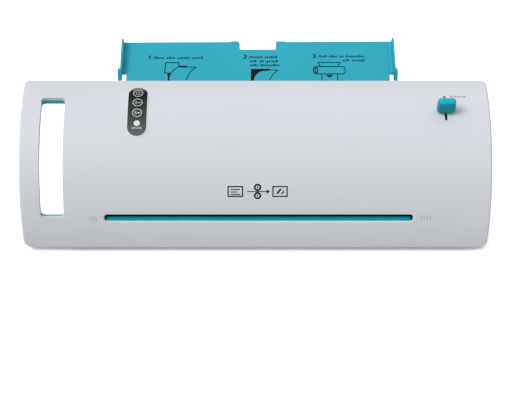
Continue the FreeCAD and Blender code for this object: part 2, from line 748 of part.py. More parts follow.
def frame_screws():
    # shank from x to x, head from x to x
    spans = (("left_frame", "left_frame + 9", "left_frame - 2", "left_frame"),
             ("right_frame - 9", "right_frame", "right_frame", "right_frame + 2"))
    screws = []
    for y, z in RODS:
        for shank0, shank1, head0, head1 in spans:
            screws.append(fuse("screw",
                               cylinder_x("shank", SCREW_RADIUS, shank0, shank1, y, z),
                               cylinder_x("head", SCREW_HEAD_RADIUS, head0, head1, y, z)))
    return group("frame_screws", *screws)


# ---------------------------------------------------------------- rollers and bearings
FLANGE_RADIUS = 8.5
# Bearing carriers: x range of the body between frame and bush flange, then of the tongue that
# runs in the frame window.
LEFT_CARRIER = ("left_frame + frame_sheet + 0.2", "left_frame + 8.7")
LEFT_TONGUE = ("left_frame - 2", "left_frame + 3")
RIGHT_CARRIER = ("right_frame - 8.7", "right_frame - frame_sheet - 0.2")
RIGHT_TONGUE = ("right_frame - 3", "right_frame + 2")


def roller_shaft(name, z):
    left, right = "left_frame - 2.5", "gear_left + gear_wide + 1"
    core_left, core_right = "roller_left - 1.5", "roller_right + 1.5"
    return turned(name,
                  [(left, 0), (left, "journal_radius"), (core_left, "journal_radius"),
                   (core_left, "core_radius"), (core_right, "core_radius"),
                   (core_right, "journal_radius"), (right, "journal_radius"), (right, 0)],
                  "roller_y", z)


def roller_sleeve(name, z):
    """Silicone sleeve with a 0.6 chamfer at each end."""
    return turned(name,
                  [("roller_left", "core_radius"), ("roller_left", "roller_radius - 0.6"),
                   ("roller_left + 0.6", "roller_radius"),
                   ("roller_right - 0.6", "roller_radius"),
                   ("roller_right", "roller_radius - 0.6"), ("roller_right", "core_radius")],
                  "roller_y", z)


def bush(x0, x1, flange_x, z):
    """Flanged plain bush; flange_x is where the 1.5 mm flange starts."""
    barrel = cylinder_x("bush", "bush_radius", x0, x1, "roller_y", z)
    flange = cylinder_x("bush_flange", FLANGE_RADIUS, flange_x, "(%s) + 1.5" % flange_x,
                        "roller_y", z)
    bore = cylinder_x("bush_bore", "journal_radius + running_gap",
                      "(%s) - 3" % x0, "(%s) + 3" % x1, "roller_y", z)
    return cut("bush", fuse("bush", barrel, flange), bore)


def lower_bushes():
    return group("lower_bushes",
                 bush("left_frame - 1", LEFT_INNER + " + 1.5", LEFT_INNER, "lower_z"),
                 bush(RIGHT_INNER + " - 1.5", "right_frame + 1", RIGHT_INNER + " - 1.5",
                      "lower_z"))


def upper_bushes():
    return group("upper_bushes",
                 bush("left_frame + 1.7", "left_frame + 10.3", "left_frame + 8.8", "upper_z"),
                 bush("right_frame - 10.3", "right_frame - 1.7", "right_frame - 10.3",
                      "upper_z"))


def middle_of(x_range):
    return "(%s + %s) / 2" % x_range


def bearing_carrier(name, body_x, tongue_x):
    body = box("carrier_block", *body_x, -45.0, -23.0, 41.6, 62.4)
    tongue = box("carrier_tongue", *tongue_x, -44.7, -23.3, 42.0, 62.4)
    # lug reaching back over the lift cam
    lug = box("carrier_lug", *body_x, -23.5, 1.0, 62.64, 66.5)
    neck = box("carrier_neck", *body_x, -45.0, -20.5, 58.0, 66.5)
    solid = fuse(name, body, tongue, neck, lug)
    spring_pit = cylinder_z("spring_pit", 5.0, middle_of(body_x), "roller_y", 63.5, 68)
    bore = cylinder_x("carrier_bore", "bush_radius", body_x[0] + " - 20", body_x[1] + " + 20",
                      "roller_y", "upper_z")
    return cut(name, solid, bore, spring_pit)


def coil_spring(x, y, z0, z1, radius, wire, turns):
    """Compression spring: wire centre line on a helix, with flatter end coils."""
    end_rise = 0.13
    total = turns + 2.0
    steps = int(total * 12)
    points = []
    for k in range(steps + 1):
        turn = total * k / steps
        if turn < 1.0:
            rise = end_rise * turn * turn
        elif turn > total - 1.0:
            rise = 1.0 - end_rise * (total - turn) * (total - turn)
        else:
            rise = end_rise + (1.0 - 2 * end_rise) * (turn - 1.0) / (total - 2.0)
        angle = 2 * math.pi * turn
        points.append((x + radius * math.cos(angle), y + radius * math.sin(angle),
                       z0 + wire + (z1 - z0 - 2 * wire) * rise))
    return pipe(points, wire)


def pressure_springs():
    coils = [coil_spring(number(middle_of(body_x)), number("roller_y"), z0=63.55, z1=70.95,
                         radius=3.2, wire=0.42, turns=2.5)
             for body_x in (LEFT_CARRIER, RIGHT_CARRIER)]
    return shape_feature("pressure_springs", Part.Compound(coils))


# ---------------------------------------------------------------- gears
ROLLER_Y = number("roller_y")
LOWER_Z, UPPER_Z = number("lower_z"), number("upper_z")
IDLER_Y, IDLER_Z = number("idler_y"), number("idler_z")
PINION_Y, PINION_Z = number("pinion_y"), number("pinion_z")
GEAR_TEETH, PINION_TEETH = 20, 12
GEAR_PITCH = 360.0 / GEAR_TEETH
PINION_PITCH = 360.0 / PINION_TEETH
PRESSURE_ANGLE = math.radians(20)
TOOTH_THINNING = 0.11
FLANK_STEPS = 5
SHAFT_RADIUS = 2.5
IDLER_PIN_RADIUS = 3.0

# A phase is the angle of a tooth centre, from +y towards +z, in degrees.
# The lower gear has a tooth straight up, the upper gear a gap straight down.
LOWER_PHASE = 90.0
UPPER_PHASE = -90.0 + GEAR_PITCH / 2
# The idler meshes with the lower gear along the line of centres.
IDLER_LINE = math.degrees(math.atan2(IDLER_Z - LOWER_Z, IDLER_Y - ROLLER_Y))
IDLER_PHASE = IDLER_LINE + 180.0 + GEAR_PITCH / 2 + (IDLER_LINE - LOWER_PHASE) % GEAR_PITCH
# A pinion gap faces an idler tooth on the line of centres; turned by the pitch ratio otherwise.
PINION_LINE = math.degrees(math.atan2(PINION_Z - IDLER_Z, PINION_Y - IDLER_Y))
PINION_PHASE = (PINION_LINE + 180.0 + PINION_PITCH / 2
                + (PINION_LINE - IDLER_PHASE) % GEAR_PITCH * (GEAR_TEETH / PINION_TEETH))


def involute(angle):
    return math.tan(angle) - angle


def gear(name, teeth, bore, y, z, phase):
    """Involute spur gear on an axis along X."""
    module = number("gear_module")
    pitch_radius = module * teeth / 2.0
    tip_radius = pitch_radius + module * 0.95
    root_radius = pitch_radius - module * 1.3
    base_radius = pitch_radius * math.cos(PRESSURE_ANGLE)
    half_tooth = math.pi / (2 * teeth) - TOOTH_THINNING / pitch_radius
    # one flank from root to tip: (radius, half angle of the tooth there)
    start = max(base_radius, root_radius)
    flank = []
    for k in range(FLANK_STEPS + 1):
        radius = start + (tip_radius - start) * k / FLANK_STEPS
        pressure = math.acos(min(1.0, base_radius / radius))
        flank.append((radius, half_tooth + involute(PRESSURE_ANGLE) - involute(pressure)))
    if root_radius < base_radius - 1e-6:
        flank.insert(0, (root_radius, flank[0][1]))
    polar = []
    for k in range(teeth):
        centre = math.radians(phase) + 2 * math.pi * k / teeth
        polar += [(radius, centre - half) for radius, half in flank]
        polar += [(radius, centre + half) for radius, half in reversed(flank)]
    points = [Vector(0, radius * math.cos(angle), radius * math.sin(angle))
              for radius, angle in polar]
    width = number("gear_wide")
    wheel = Part.Face(Part.makePolygon(points + [points[0]])).extrude(Vector(width, 0, 0))
    wheel = wheel.cut(Part.makeCylinder(bore, width + 20, Vector(-5, 0, 0), Vector(1, 0, 0)))
    wheel.translate(Vector(number("gear_left"), y, z))
    return shape_feature(name, wheel.removeSplitter())


def roller_gear(name, z, phase):
    return gear(name, GEAR_TEETH, number("journal_radius"), ROLLER_Y, z, phase)


def idler_gear():
    return gear("idler_gear", GEAR_TEETH, IDLER_PIN_RADIUS + number("running_gap"),
                IDLER_Y, IDLER_Z, IDLER_PHASE)


def motor_pinion():
    return gear("motor_pinion", PINION_TEETH, SHAFT_RADIUS, PINION_Y, PINION_Z, PINION_PHASE)


def idler_pin():
    """Pin in the right frame, with a spacer and a head either side of the idler."""
    end = "gear_left + gear_wide + 1.6"
    return fuse("idler_pin",
                cylinder_x("idler_pin", IDLER_PIN_RADIUS, RIGHT_INNER, end,
                           "idler_y", "idler_z"),
                cylinder_x("idler_spacer", 4.5, "right_frame", "gear_left - 0.4",
                           "idler_y", "idler_z"),
                cylinder_x("idler_head", 4.2, "gear_left + gear_wide + 0.4", end,
                           "idler_y", "idler_z"))


# ---------------------------------------------------------------- motor and its bracket
BRACKET_X = "gear_left + gear_wide + 2.4"
MOTOR_X = BRACKET_X + " + frame_sheet"
# Bracket standoffs: (y, z).
STANDOFFS = [(11.8, 19.2), (-13.0, 45.5), (-26.0, 10.0)]
STANDOFF_BORE = 1.5
# Side view of the bracket plate: (y, z).
BRACKET_OUTLINE = [(-30.0, 6.6), (12.0, 6.6), (13.6, 14.0), (17.4, 26.0), (17.4, 42.0),
                   (8.0, 50.0), (-17.0, 50.0), (-30.0, 20.0)]


def standoff(y, z):
    return cut("standoff", cylinder_x("standoff", 3.0, "right_frame", BRACKET_X, y, z),
               cylinder_x("standoff_bore", STANDOFF_BORE, "right_frame - 1",
                          BRACKET_X + " + 1", y, z))


def motor_bracket():
    circles = [("pinion_y", "pinion_z", 6.0), ("idler_y", "idler_z", 3.1)]
    circles += [(y, z, STANDOFF_BORE) for y, z in STANDOFFS]
    plate = profile_x("motor_plate", BRACKET_X, "frame_sheet", BRACKET_OUTLINE,
                      circles=circles)
    return fuse("motor_bracket", plate, *[standoff(y, z) for y, z in STANDOFFS])


def ac_motor():
    can = cylinder_x("motor_can", "motor_radius", MOTOR_X, MOTOR_X + " + motor_long",
                     "motor_y", "motor_z")
    rounded = fillet("motor_can", can, 1.2, is_circle)
    gearbox = cylinder_x("gearbox", "motor_radius - 4", MOTOR_X + " + motor_long - 2",
                         MOTOR_X + " + motor_long + 3", "motor_y", "motor_z")
    terminal = box("motor_terminal", MOTOR_X + " + 6", MOTOR_X + " + 15", -30, -20, 22.0, 33.0)
    boss = cylinder_x("motor_boss", 5.5, MOTOR_X + " - 1.5", MOTOR_X + " + 2",
                      "pinion_y", "pinion_z")
    shaft_hole = cylinder_x("shaft_hole", "%r + running_gap" % SHAFT_RADIUS, "gear_left - 2",
                            MOTOR_X + " + 15", "pinion_y", "pinion_z")
    return cut("ac_motor", fuse("ac_motor", rounded, gearbox, terminal, boss), shaft_hole)


def motor_shaft():
    return cylinder_x("motor_shaft", SHAFT_RADIUS, "gear_left - 0.6", MOTOR_X + " + 14.5",
                      "pinion_y", "pinion_z")


# ---------------------------------------------------------------- heating
SHOE_LEFT, SHOE_RIGHT = number("roller_left") + 3, number("roller_right") - 3
ELEMENT_INSET = 6
# Side views of the bent shields: (y, z).
LOWER_SHIELD = [(-51.3, 32.0), (-51.3, 7.0), (-15.0, 7.0), (-15.0, 30.0), (-15.6, 30.0),
                (-15.6, 7.6), (-50.7, 7.6), (-50.7, 32.0)]
UPPER_SHIELD = [(-53.0, 44.0), (-53.0, 58.0), (-44.0, 70.4), (-15.0, 70.4), (-14.4, 70.4),
                (-14.4, 45.0), (-15.0, 45.0), (-15.0, 69.8), (-43.7, 69.8), (-52.4, 57.8),
                (-52.4, 44.0)]
SHIELD_TOP = 70.4
HEATSTAT_Y = -30.0


def roller_arc(z, r0, r1, angle0, angle1, inset=0):
    """Tube slice round a roller axis at z; angles from +y towards +z, degrees."""
    x0, x1 = SHOE_LEFT + inset, SHOE_RIGHT - inset
    start, end = math.radians(angle0), math.radians(angle1)
    middle = math.radians((angle0 + angle1) / 2)

    def point(radius, angle):
        return Vector(x0, ROLLER_Y + radius * math.cos(angle), z + radius * math.sin(angle))

    wire = Part.Wire([
        Part.Arc(point(r1, start), point(r1, middle), point(r1, end)).toShape(),
        Part.makeLine(point(r1, end), point(r0, end)),
        Part.Arc(point(r0, end), point(r0, middle), point(r0, start)).toShape(),
        Part.makeLine(point(r0, start), point(r1, start)),
    ])
    return Part.Face(wire).extrude(Vector(x1 - x0, 0, 0))


def lower_heater_shoe():
    return shape_feature("lower_heater_shoe", roller_arc(LOWER_Z, 13.3, 15.6, -170, 15))


def upper_heater_shoe():
    return shape_feature("upper_heater_shoe", roller_arc(UPPER_Z, 14.4, 16.6, -15, 170))


def heater_elements():
    """One curved element on the outside of each shoe."""
    return shape_feature("heater_elements", Part.Compound([
        roller_arc(LOWER_Z, 15.65, 16.5, -155, -10, ELEMENT_INSET),
        roller_arc(UPPER_Z, 16.65, 17.4, 10, 155, ELEMENT_INSET),
    ]))


def thermostat():
    """Round thermostat on the upper shield, with ears and two blades."""
    blades = [box("thermostat_blade", x, x + 0.8, -32.5, -27.5, 76.3, 81.0)
              for x in (14.5, 24.7)]
    return fuse("thermostat",
                cylinder_z("thermostat", 7.5, 20.0, HEATSTAT_Y, SHIELD_TOP, 76.4),
                box("thermostat_ears", 8.0, 32.0, -33.0, -27.0, SHIELD_TOP, 71.6),
                *blades)


def thermal_fuse():
    """Fuse body and its lead along X, held by a block at each end."""
    lead_z = 72.5
    along = Vector(1, 0, 0)
    body = Part.makeCylinder(2.0, 11.0, Vector(-40, HEATSTAT_Y, lead_z), along)
    lead = Part.makeCylinder(0.5, 27.0, Vector(-48, HEATSTAT_Y, lead_z), along)
    holders = [Part.makeBox(5, 8, 2.2, Vector(x, -34, SHIELD_TOP)) for x in (-50, -24)]
    return shape_feature("thermal_fuse", body.fuse([lead] + holders))


# ---------------------------------------------------------------- cam shaft, lever and knob
CAM_REST = math.radians(-4.5)
CAM_CENTRE_Y = number("cam_y") - number("cam_offset") * math.cos(CAM_REST)
CAM_CENTRE_Z = number("cam_z") + number("cam_offset") * math.sin(CAM_REST)
BLADE_THICK, BLADE_DEEP, BLADE_LONG = 1.4, 3.4, 46.0
BLADE_START = 2.0
WEB_THICK, WEB_DEEP, WEB_LONG = 4.0, 7.0, 22.0


def cam_shaft():
    return cylinder_x("cam_shaft", "cam_shaft_radius", "left_frame - 3", "lever_x + 3.5",
                      "cam_y", "cam_z")


def lift_cam(x0, x1):
    lobe = cylinder_x("lift_cam", "cam_radius", x0, x1, CAM_CENTRE_Y, CAM_CENTRE_Z)
    return cut("lift_cam", lobe, cylinder_x("cam_bore", "cam_shaft_radius",
                                            x0 + " - 1", x1 + " + 1", "cam_y", "cam_z"))


def lift_cams():
    return group("lift_cams", lift_cam("left_frame + 3", "left_frame + 8"),
                 lift_cam("right_frame - 8", "right_frame - 3"))


def place_on_lever(item, x, along, side):
    """Places an object whose own Z runs along the lever; side is across it, to the rear."""
    lean = math.radians(number("lever_lean"))
    y = number("cam_y") - along * math.sin(lean) + side * math.cos(lean)
    z = number("cam_z") + along * math.cos(lean) + side * math.sin(lean)
    return place(item, x, y, z, tilt(number("lever_lean")))


def lever_bar(name, thick, deep, length):
    """Bar centred on the lever plane, starting just above the shaft axis."""
    return place_on_lever(block(name, thick, deep, length), number("lever_x") - thick / 2,
                          BLADE_START, -deep / 2)


def release_lever():
    blade = lever_bar("lever_blade", BLADE_THICK, BLADE_DEEP, BLADE_LONG)
    web = lever_bar("lever_web", WEB_THICK, WEB_DEEP, WEB_LONG)
    hub = cylinder_x("lever_hub", 6.5, "lever_x - 4", "lever_x + 3.5", "cam_y", "cam_z")
    bore = cylinder_x("hub_bore", "cam_shaft_radius", "lever_x - 5", "lever_x + 5",
                      "cam_y", "cam_z")
    return cut("release_lever", fuse("release_lever", blade, web, hub), bore)


def release_knob():
    # side view: (across the lever, along the lever)
    outline = [("-knob_front", 0), ("knob_rear", 0), ("knob_rear - 0.3", "knob_tall"),
               ("-knob_front + 1.8", "knob_tall")]
    solid = padded("knob_block", "YZ_Plane", outline, "knob_wide")
    rounded = fillet("knob", solid, 2.2, every_edge)
    socket = block("knob_socket", BLADE_THICK, BLADE_DEEP,
                   BLADE_START + BLADE_LONG - number("lever_reach"))
    put(socket, number("knob_wide") / 2 - BLADE_THICK / 2, -BLADE_DEEP / 2, 0)
    knob = cut("release_knob", rounded, socket)
    return place_on_lever(knob, number("lever_x") - number("knob_wide") / 2,
                          number("lever_reach"), 0.0)


# ---------------------------------------------------------------- controls
KEY_TOP = 89.0
BOARD_UNDER, BOARD_TOP = 73.0, 74.6
SWITCH_HALF, LED_HALF = 3, 1.8


def control_panel():
    strip = strip_sector("strip", "cover_radius - 1.2", "cover_radius + 0.2",
                         angle_margin=0.0, x_margin=0.0, corner_margin=-0.01)
    return cut("control_panel", strip, *lamp_and_key_holes())


def panel_bezel():
    outer = strip_sector("bezel", "cover_radius - 1.2", "cover_radius + 0.35",
                         angle_margin=0.5, x_margin=0.75, corner_margin=0.74)
    inner = strip_sector("bezel_in", "cover_radius - 3", "cover_radius + 3",
                         angle_margin=0.02, x_margin=0.03, corner_margin=0.02)
    return cut("panel_bezel", outer, inner)


def button(label, angle):
    """Key cap with a rounded top, a tab that keeps it in the cover, and a stem."""
    cap = cylinder_radial("key_cap", "key_radius", angle, 84.4, KEY_TOP, "panel_x")

    def on_top(edge):
        return is_circle(edge) and abs(from_axis(edge.CenterOfMass) - KEY_TOP) < 0.05

    rounded = fillet("key_cap", cap, 0.5, on_top)
    tab = tilted_box("key_tab", angle, -6.0, 6.0, -2.2, 2.2, 83.4, 84.5)
    stem = cylinder_radial("key_stem", 1.5, angle, 80.1, 84.0, "panel_x")
    return fuse(label, rounded, tab, stem)


def light_pipe():
    return fuse("light_pipe",
                cylinder_radial("light_pipe", "lamp_radius", "lamp_angle", 82.2, 88.5,
                                "panel_x"),
                cylinder_radial("light_foot", "lamp_radius + 0.8", "lamp_angle", 81.2, 84.8,
                                "panel_x"))


def on_board(name, x0, x1, t0, t1, r0, r1):
    """Box square to the control board, which lies across the radius at the middle key."""
    return tilted_box(name, "key_thin", x0, x1, t0, t1, r0, r1)


def board_place(angle):
    """Where a key or lamp angle falls on the control board, to the rear of the middle key."""
    return 78.0 * math.sin(math.radians(number(angle) - number("key_thin")))


def square_on_board(name, angle, half, top):
    t = board_place(angle)
    return on_board(name, -half, half, t - half, t + half, BOARD_TOP, top)


def control_board():
    return on_board("control_board", -12, 12, -30, 17.5, BOARD_UNDER, BOARD_TOP)


def tact_switches():
    return group("tact_switches", *[square_on_board("tact", key, SWITCH_HALF, 77.9)
                                    for key in KEYS])


def ready_led():
    return square_on_board("led", "lamp_angle", LED_HALF, 78.4)


# ---------------------------------------------------------------- main board in the left bay
BOARD_TOP_Z = 13.6
# Box components: name, x range, y range, top z.
RELAY = ("relay", -152.0, -140.0, -24, -9, 29.0)
BOX_COMPONENTS = [
    ("transformer", -154.0, -143.4, -7.4, 2.6, 27.0),
    ("chip", -150.0, -144.0, -40, -30, 15.2),
    ("terminal_block", -138.5, -133.5, -30, -12, 22.0),
    ("heatsink", -136.0, -133.0, -50, -44, 31.0),
]


def main_board():
    plate = box("main_board", -154.5, -132.5, -56, 3, BOARD_Z, BOARD_TOP_Z)
    holes = [cylinder_z("board_hole", 1.6, x, y, 11, 15) for x, y in SPACERS[:2]]
    return cut("main_board", plate, *holes)


def board_box(name, x0, x1, y0, y1, top):
    return box(name, x0, x1, y0, y1, BOARD_TOP_Z, top)


def board_components():
    capacitor = cylinder_z("capacitor", 5.0, -141.0, -38.0, BOARD_TOP_Z, 33.0)
    return group("board_components", board_box(*RELAY), capacitor,
                 *[board_box(*component) for component in BOX_COMPONENTS])


# ---------------------------------------------------------------- input tray and its pins
# The tray is built in its own frame: x as on the machine, y up the slope from the front edge,
# z square to the sheet from its top face.
SHEET_LEFT, SHEET_RIGHT = -115.6, 120.2
# Plan of the sheet, with a notch between two tabs in its far edge: (x, y).
TRAY_PLAN = [
    ("tray_left + 0.9", "tray_gap"), (SHEET_LEFT, "tray_gap"), (SHEET_LEFT, 0.4),
    (SHEET_RIGHT, 0.4), (SHEET_RIGHT, "tray_gap"), ("tray_right", "tray_gap"),
    ("tray_right - 0.8", "tray_long + 0.9"),
    (28.2, "tray_long + 0.3"), (27.2, "tray_long + 1"), (20.6, "tray_long + 1"),
    (19.6, "tray_long + 0.85"), (18.8, "tray_long + 0.3"), (18.4, "tray_long - 0.6"),
    (18.4, "tray_long - 7.0"), (17.6, "tray_long - 7.8"), (-13.3, "tray_long - 7.8"),
    (-14.1, "tray_long - 7.0"), (-14.1, "tray_long - 1.5"), (-14.5, "tray_long - 0.2"),
    (-15.3, "tray_long + 0.6"), (-16.6, "tray_long + 1"), (-22.3, "tray_long + 1"),
    (-23.3, "tray_long + 0.2"), ("tray_left + 1.5", "tray_long - 0.3"),
]
TRAY_LEFT, TRAY_RIGHT = number("tray_left"), number("tray_right")
TRAY_LONG, TRAY_WALL = number("tray_long"), number("tray_wall")
HINGE_ALONG, HINGE_BELOW = number("hinge_along"), number("hinge_below")
WALL_START = 43.0
# Side view of a hinge arm: (y, z).
HINGE_ARM = [(8.5, -HINGE_BELOW - 1.0), (11.0, -HINGE_BELOW - 4.6), (20.5, -HINGE_BELOW - 4.6),
             (50.5, -2.6), (50.5, 5.4), (48.0, 5.4), (42.5, 0.0), (10.0, 0.0), (8.5, -2.0)]
RIB_X = (-60.0, 64.0)


def tray_side(x0, x1, outline):
    return put(padded("tray_side", "YZ_Plane", outline, x1 - x0), x0, 0, 0)


def side_wall(name, foot_x, tip_x, wall, end, x0, x1):
    """Side wall: its plan, from foot_x to tip_x at the far end, common with its side view.

    wall is the thickness towards the middle of the tray; x0..x1 holds the whole wall."""
    plan = [(foot_x, WALL_START), (foot_x + wall, WALL_START), (tip_x + wall, end),
            (tip_x, end)]
    upright = put(padded("tray_wall_plan", "XY_Plane", plan, "tray_side + 2"), 0, 0, -2)
    side_view = [(WALL_START, -2.0), (end, -2.0), (end, 6.3), (end - 0.5, 6.8), (50.5, 6.8),
                 (WALL_START, 0.5)]
    return common(name, upright, tray_side(x0, x1, side_view))


def input_tray():
    plate = put(padded("tray_plate", "XY_Plane", TRAY_PLAN, "tray_sheet"),
                0, 0, -number("tray_sheet"))
    left_wall = side_wall("left_wall", TRAY_LEFT + 0.9, TRAY_LEFT + 1.5, TRAY_WALL,
                          TRAY_LONG - 0.4, TRAY_LEFT - 1, TRAY_LEFT + 6)
    right_wall = side_wall("right_wall", TRAY_RIGHT, TRAY_RIGHT - 0.8, -TRAY_WALL,
                           TRAY_LONG + 0.9, TRAY_RIGHT - 6, TRAY_RIGHT + 1)
    tray = fuse("tray", plate, left_wall, right_wall,
                tray_side(TRAY_LEFT - 1.1, TRAY_LEFT + TRAY_WALL, HINGE_ARM),
                tray_side(TRAY_RIGHT - 0.8, TRAY_RIGHT + 1.7, HINGE_ARM))
    # two stiffening ribs under the sheet
    ribs = [put(block("tray_rib", 2.0, 60.0, 3.0), x, 14.0, -4.5) for x in RIB_X]
    tray = fuse("tray", tray, *ribs)
    pin_bore = cylinder("pin_bore", "hinge_radius + running_gap", -200, 200)
    put(pin_bore, -200, HINGE_ALONG, -HINGE_BELOW, ALONG_X)
    return place(cut("input_tray", tray, pin_bore), 0, "tray_y", "tray_z",
                 tilt(number("tray_slope")))


def tray_hinge_pins():
    # pin from x to x, head from x to x
    spans = ((-123.3, -116.0, -124.6, -123.2), (120.6, 127.5, 127.4, 128.8))
    return group("tray_hinge_pins", *[
        fuse("pin", cylinder_x("pin", "hinge_radius", pin0, pin1, HINGE_Y, HINGE_Z),
             cylinder_x("pin_head", 2.8, head0, head1, HINGE_Y, HINGE_Z))
        for pin0, pin1, head0, head1 in spans])


# ---------------------------------------------------------------- feet and screws
# Rubber feet: (x, y).
FEET = [(-134.0, -70.0), (-134.0, 10.0), (166.0, -70.0), (166.0, 10.0)]


def foot(x, y):
    """Foot with its lower edge rounded."""
    return fillet("foot", cylinder_z("foot", "foot_radius", x, y, 0, "floor_z"), 0.8,
                  lambda edge: is_circle(edge) and edge.CenterOfMass.z < 0.01)


def feet():
    return group("feet", *[foot(x, y) for x, y in FEET])


def case_screws():
    return group("case_screws", *[
        fuse("case_screw", cylinder_z("case_screw", POST_BORE_RADIUS, x, y, 5.0, 20.0),
             cylinder_z("case_screw_head", 3.0, x, y, 3.4, 5.6))
        for x, y in POSTS])


def panel_screws():
    return group("panel_screws", *[
        fuse("panel_screw", cylinder_y("panel_screw", 1.6, x, 14.0, 22.5, z),
             cylinder_y("panel_screw_head", 3.0, x, PANEL_REAR, 24.0, z))
        for x, z in PANEL_SCREWS])


# ---------------------------------------------------------------- mains lead and plug
# Lead from inside the strain relief to the start of its coil: (x, y, z).
CORD_START = [(172, 15.0, 16), (172, 24, 16), (172, 33, 16), (172.8, 39.5, 15.9),
              (177.0, 46.0, 15.2)]
# Lead from the coil into the plug: (x, y, z).
CORD_END = [(163.0, 75.4, 3.5), (152.0, 75.6, 3.6), (143.0, 73.0, 5.2), (136.0, 70.0, 7.4),
            (131.0, 68.5, 8.2)]
COIL_X, COIL_Y, COIL_RADIUS = 160.0, 54.0, 22.0
PLUG_LONG, PLUG_WIDE, PLUG_TALL = 27.0, 21.0, 14.6
PIN_HALF_PITCH = 6.35
PIN_LONG, PIN_THICK, PIN_TALL = 21.0, 1.5, 6.3


def strain_relief():
    solid = fuse("strain_relief",
                 cylinder_y("relief", RELIEF_RADIUS, CORD_X, 17.0, PANEL_REAR, CORD_Z),
                 cylinder_y("relief_flange", 7.5, CORD_X, PANEL_REAR, 24.2, CORD_Z),
                 cylinder_y("relief_nose", 4.6, CORD_X, 24.2, 34.0, CORD_Z))
    return cut("strain_relief", solid, cylinder_y("relief_bore", 3.2, CORD_X, 10, 40, CORD_Z))


def power_cord():
    """Lead that sinks through a little over one turn of a coil and ends in the plug."""
    coil = []
    for k in range(15):
        angle = math.radians(-8 + 30.0 * k)
        # one even turn down to 7.5, then steeper
        z = 14.2 - 6.7 * k / 12.0 if k <= 12 else 7.5 - 1.4 * (k - 12)
        coil.append((COIL_X + COIL_RADIUS * math.cos(angle),
                     COIL_Y + COIL_RADIUS * math.sin(angle), z))
    return shape_feature("power_cord", pipe(CORD_START + coil + CORD_END, 3.0))


def power_plug():
    """Plug built along its own X, blades towards -X, then turned on the table."""
    middle_y, middle_z = PLUG_WIDE / 2, PLUG_TALL / 2
    body = fillet("plug", block("plug", PLUG_LONG, PLUG_WIDE, PLUG_TALL), 3.5, every_edge)
    blades = [put(block("plug_blade", PIN_LONG, PIN_THICK, PIN_TALL),
                  -17.0, middle_y + side * PIN_HALF_PITCH - PIN_THICK / 2,
                  middle_z - PIN_TALL / 2)
              for side in (-1, 1)]
    nose = new("Part::Cone", "plug_nose")
    nose.Radius1, nose.Radius2, nose.Height = 6.2, 4.9, 9.0
    put(nose, 26.0, middle_y, middle_z, ALONG_X)
    socket = put(cylinder("plug_socket", 3.9, 0, 20.0), 22.0, middle_y, middle_z, ALONG_X)
    plug = cut("power_plug", fuse("plug_body", body, *blades, nose), socket)
    return place(plug, 101.5, 49.5, 0.4, Rotation(Vector(0, 0, 1), 16.0))


# ---------------------------------------------------------------- internal wiring
WIRE_RADIUS = 0.8
# Wires as (x, y, z) stations.
WIRES = [
    # from the strain relief along the rear to the main board
    [(171.2, 13.6, 15.6), (169.0, 13.3, 14.2), (165.0, 14.2, 12.8), (158.0, 15.7, 12.1),
     (150.0, 16.1, 12.0), (60.0, 16.1, 11.6), (-60.0, 16.1, 11.6), (-125.0, 16.1, 12.0),
     (-133.5, 14.0, 14.5), (-136.0, 6.0, 22.0), (-136.0, -4.0, 24.6), (-136.0, -12.0, 23.2)],
    # from the main board up to the control board
    [(-146.0, -35.0, 16.2), (-146.0, -34.0, 30.0), (-145.0, -31.0, 55.0),
     (-138.0, -26.0, 74.0), (-129.0, -21.0, 81.0), (-119.0, -17.0, 83.0),
     (-112.8, -15.0, 82.0), (-110.6, -14.5, 81.2)],
    # from the motor along the front to the main board
    [(158.0, -31.2, 27.0), (157.0, -42.0, 22.0), (152.0, -60.0, 14.0), (140.0, -66.0, 11.6),
     (60.0, -66.5, 11.4), (-60.0, -66.5, 11.4), (-120.0, -66.0, 11.8), (-134.0, -62.0, 15.0),
     (-141.0, -55.0, 16.4), (-143.0, -52.0, 14.9)],
]


def wire_harness():
    return shape_feature("wire_harness",
                         Part.Compound([pipe(stations, WIRE_RADIUS) for stations in WIRES]))


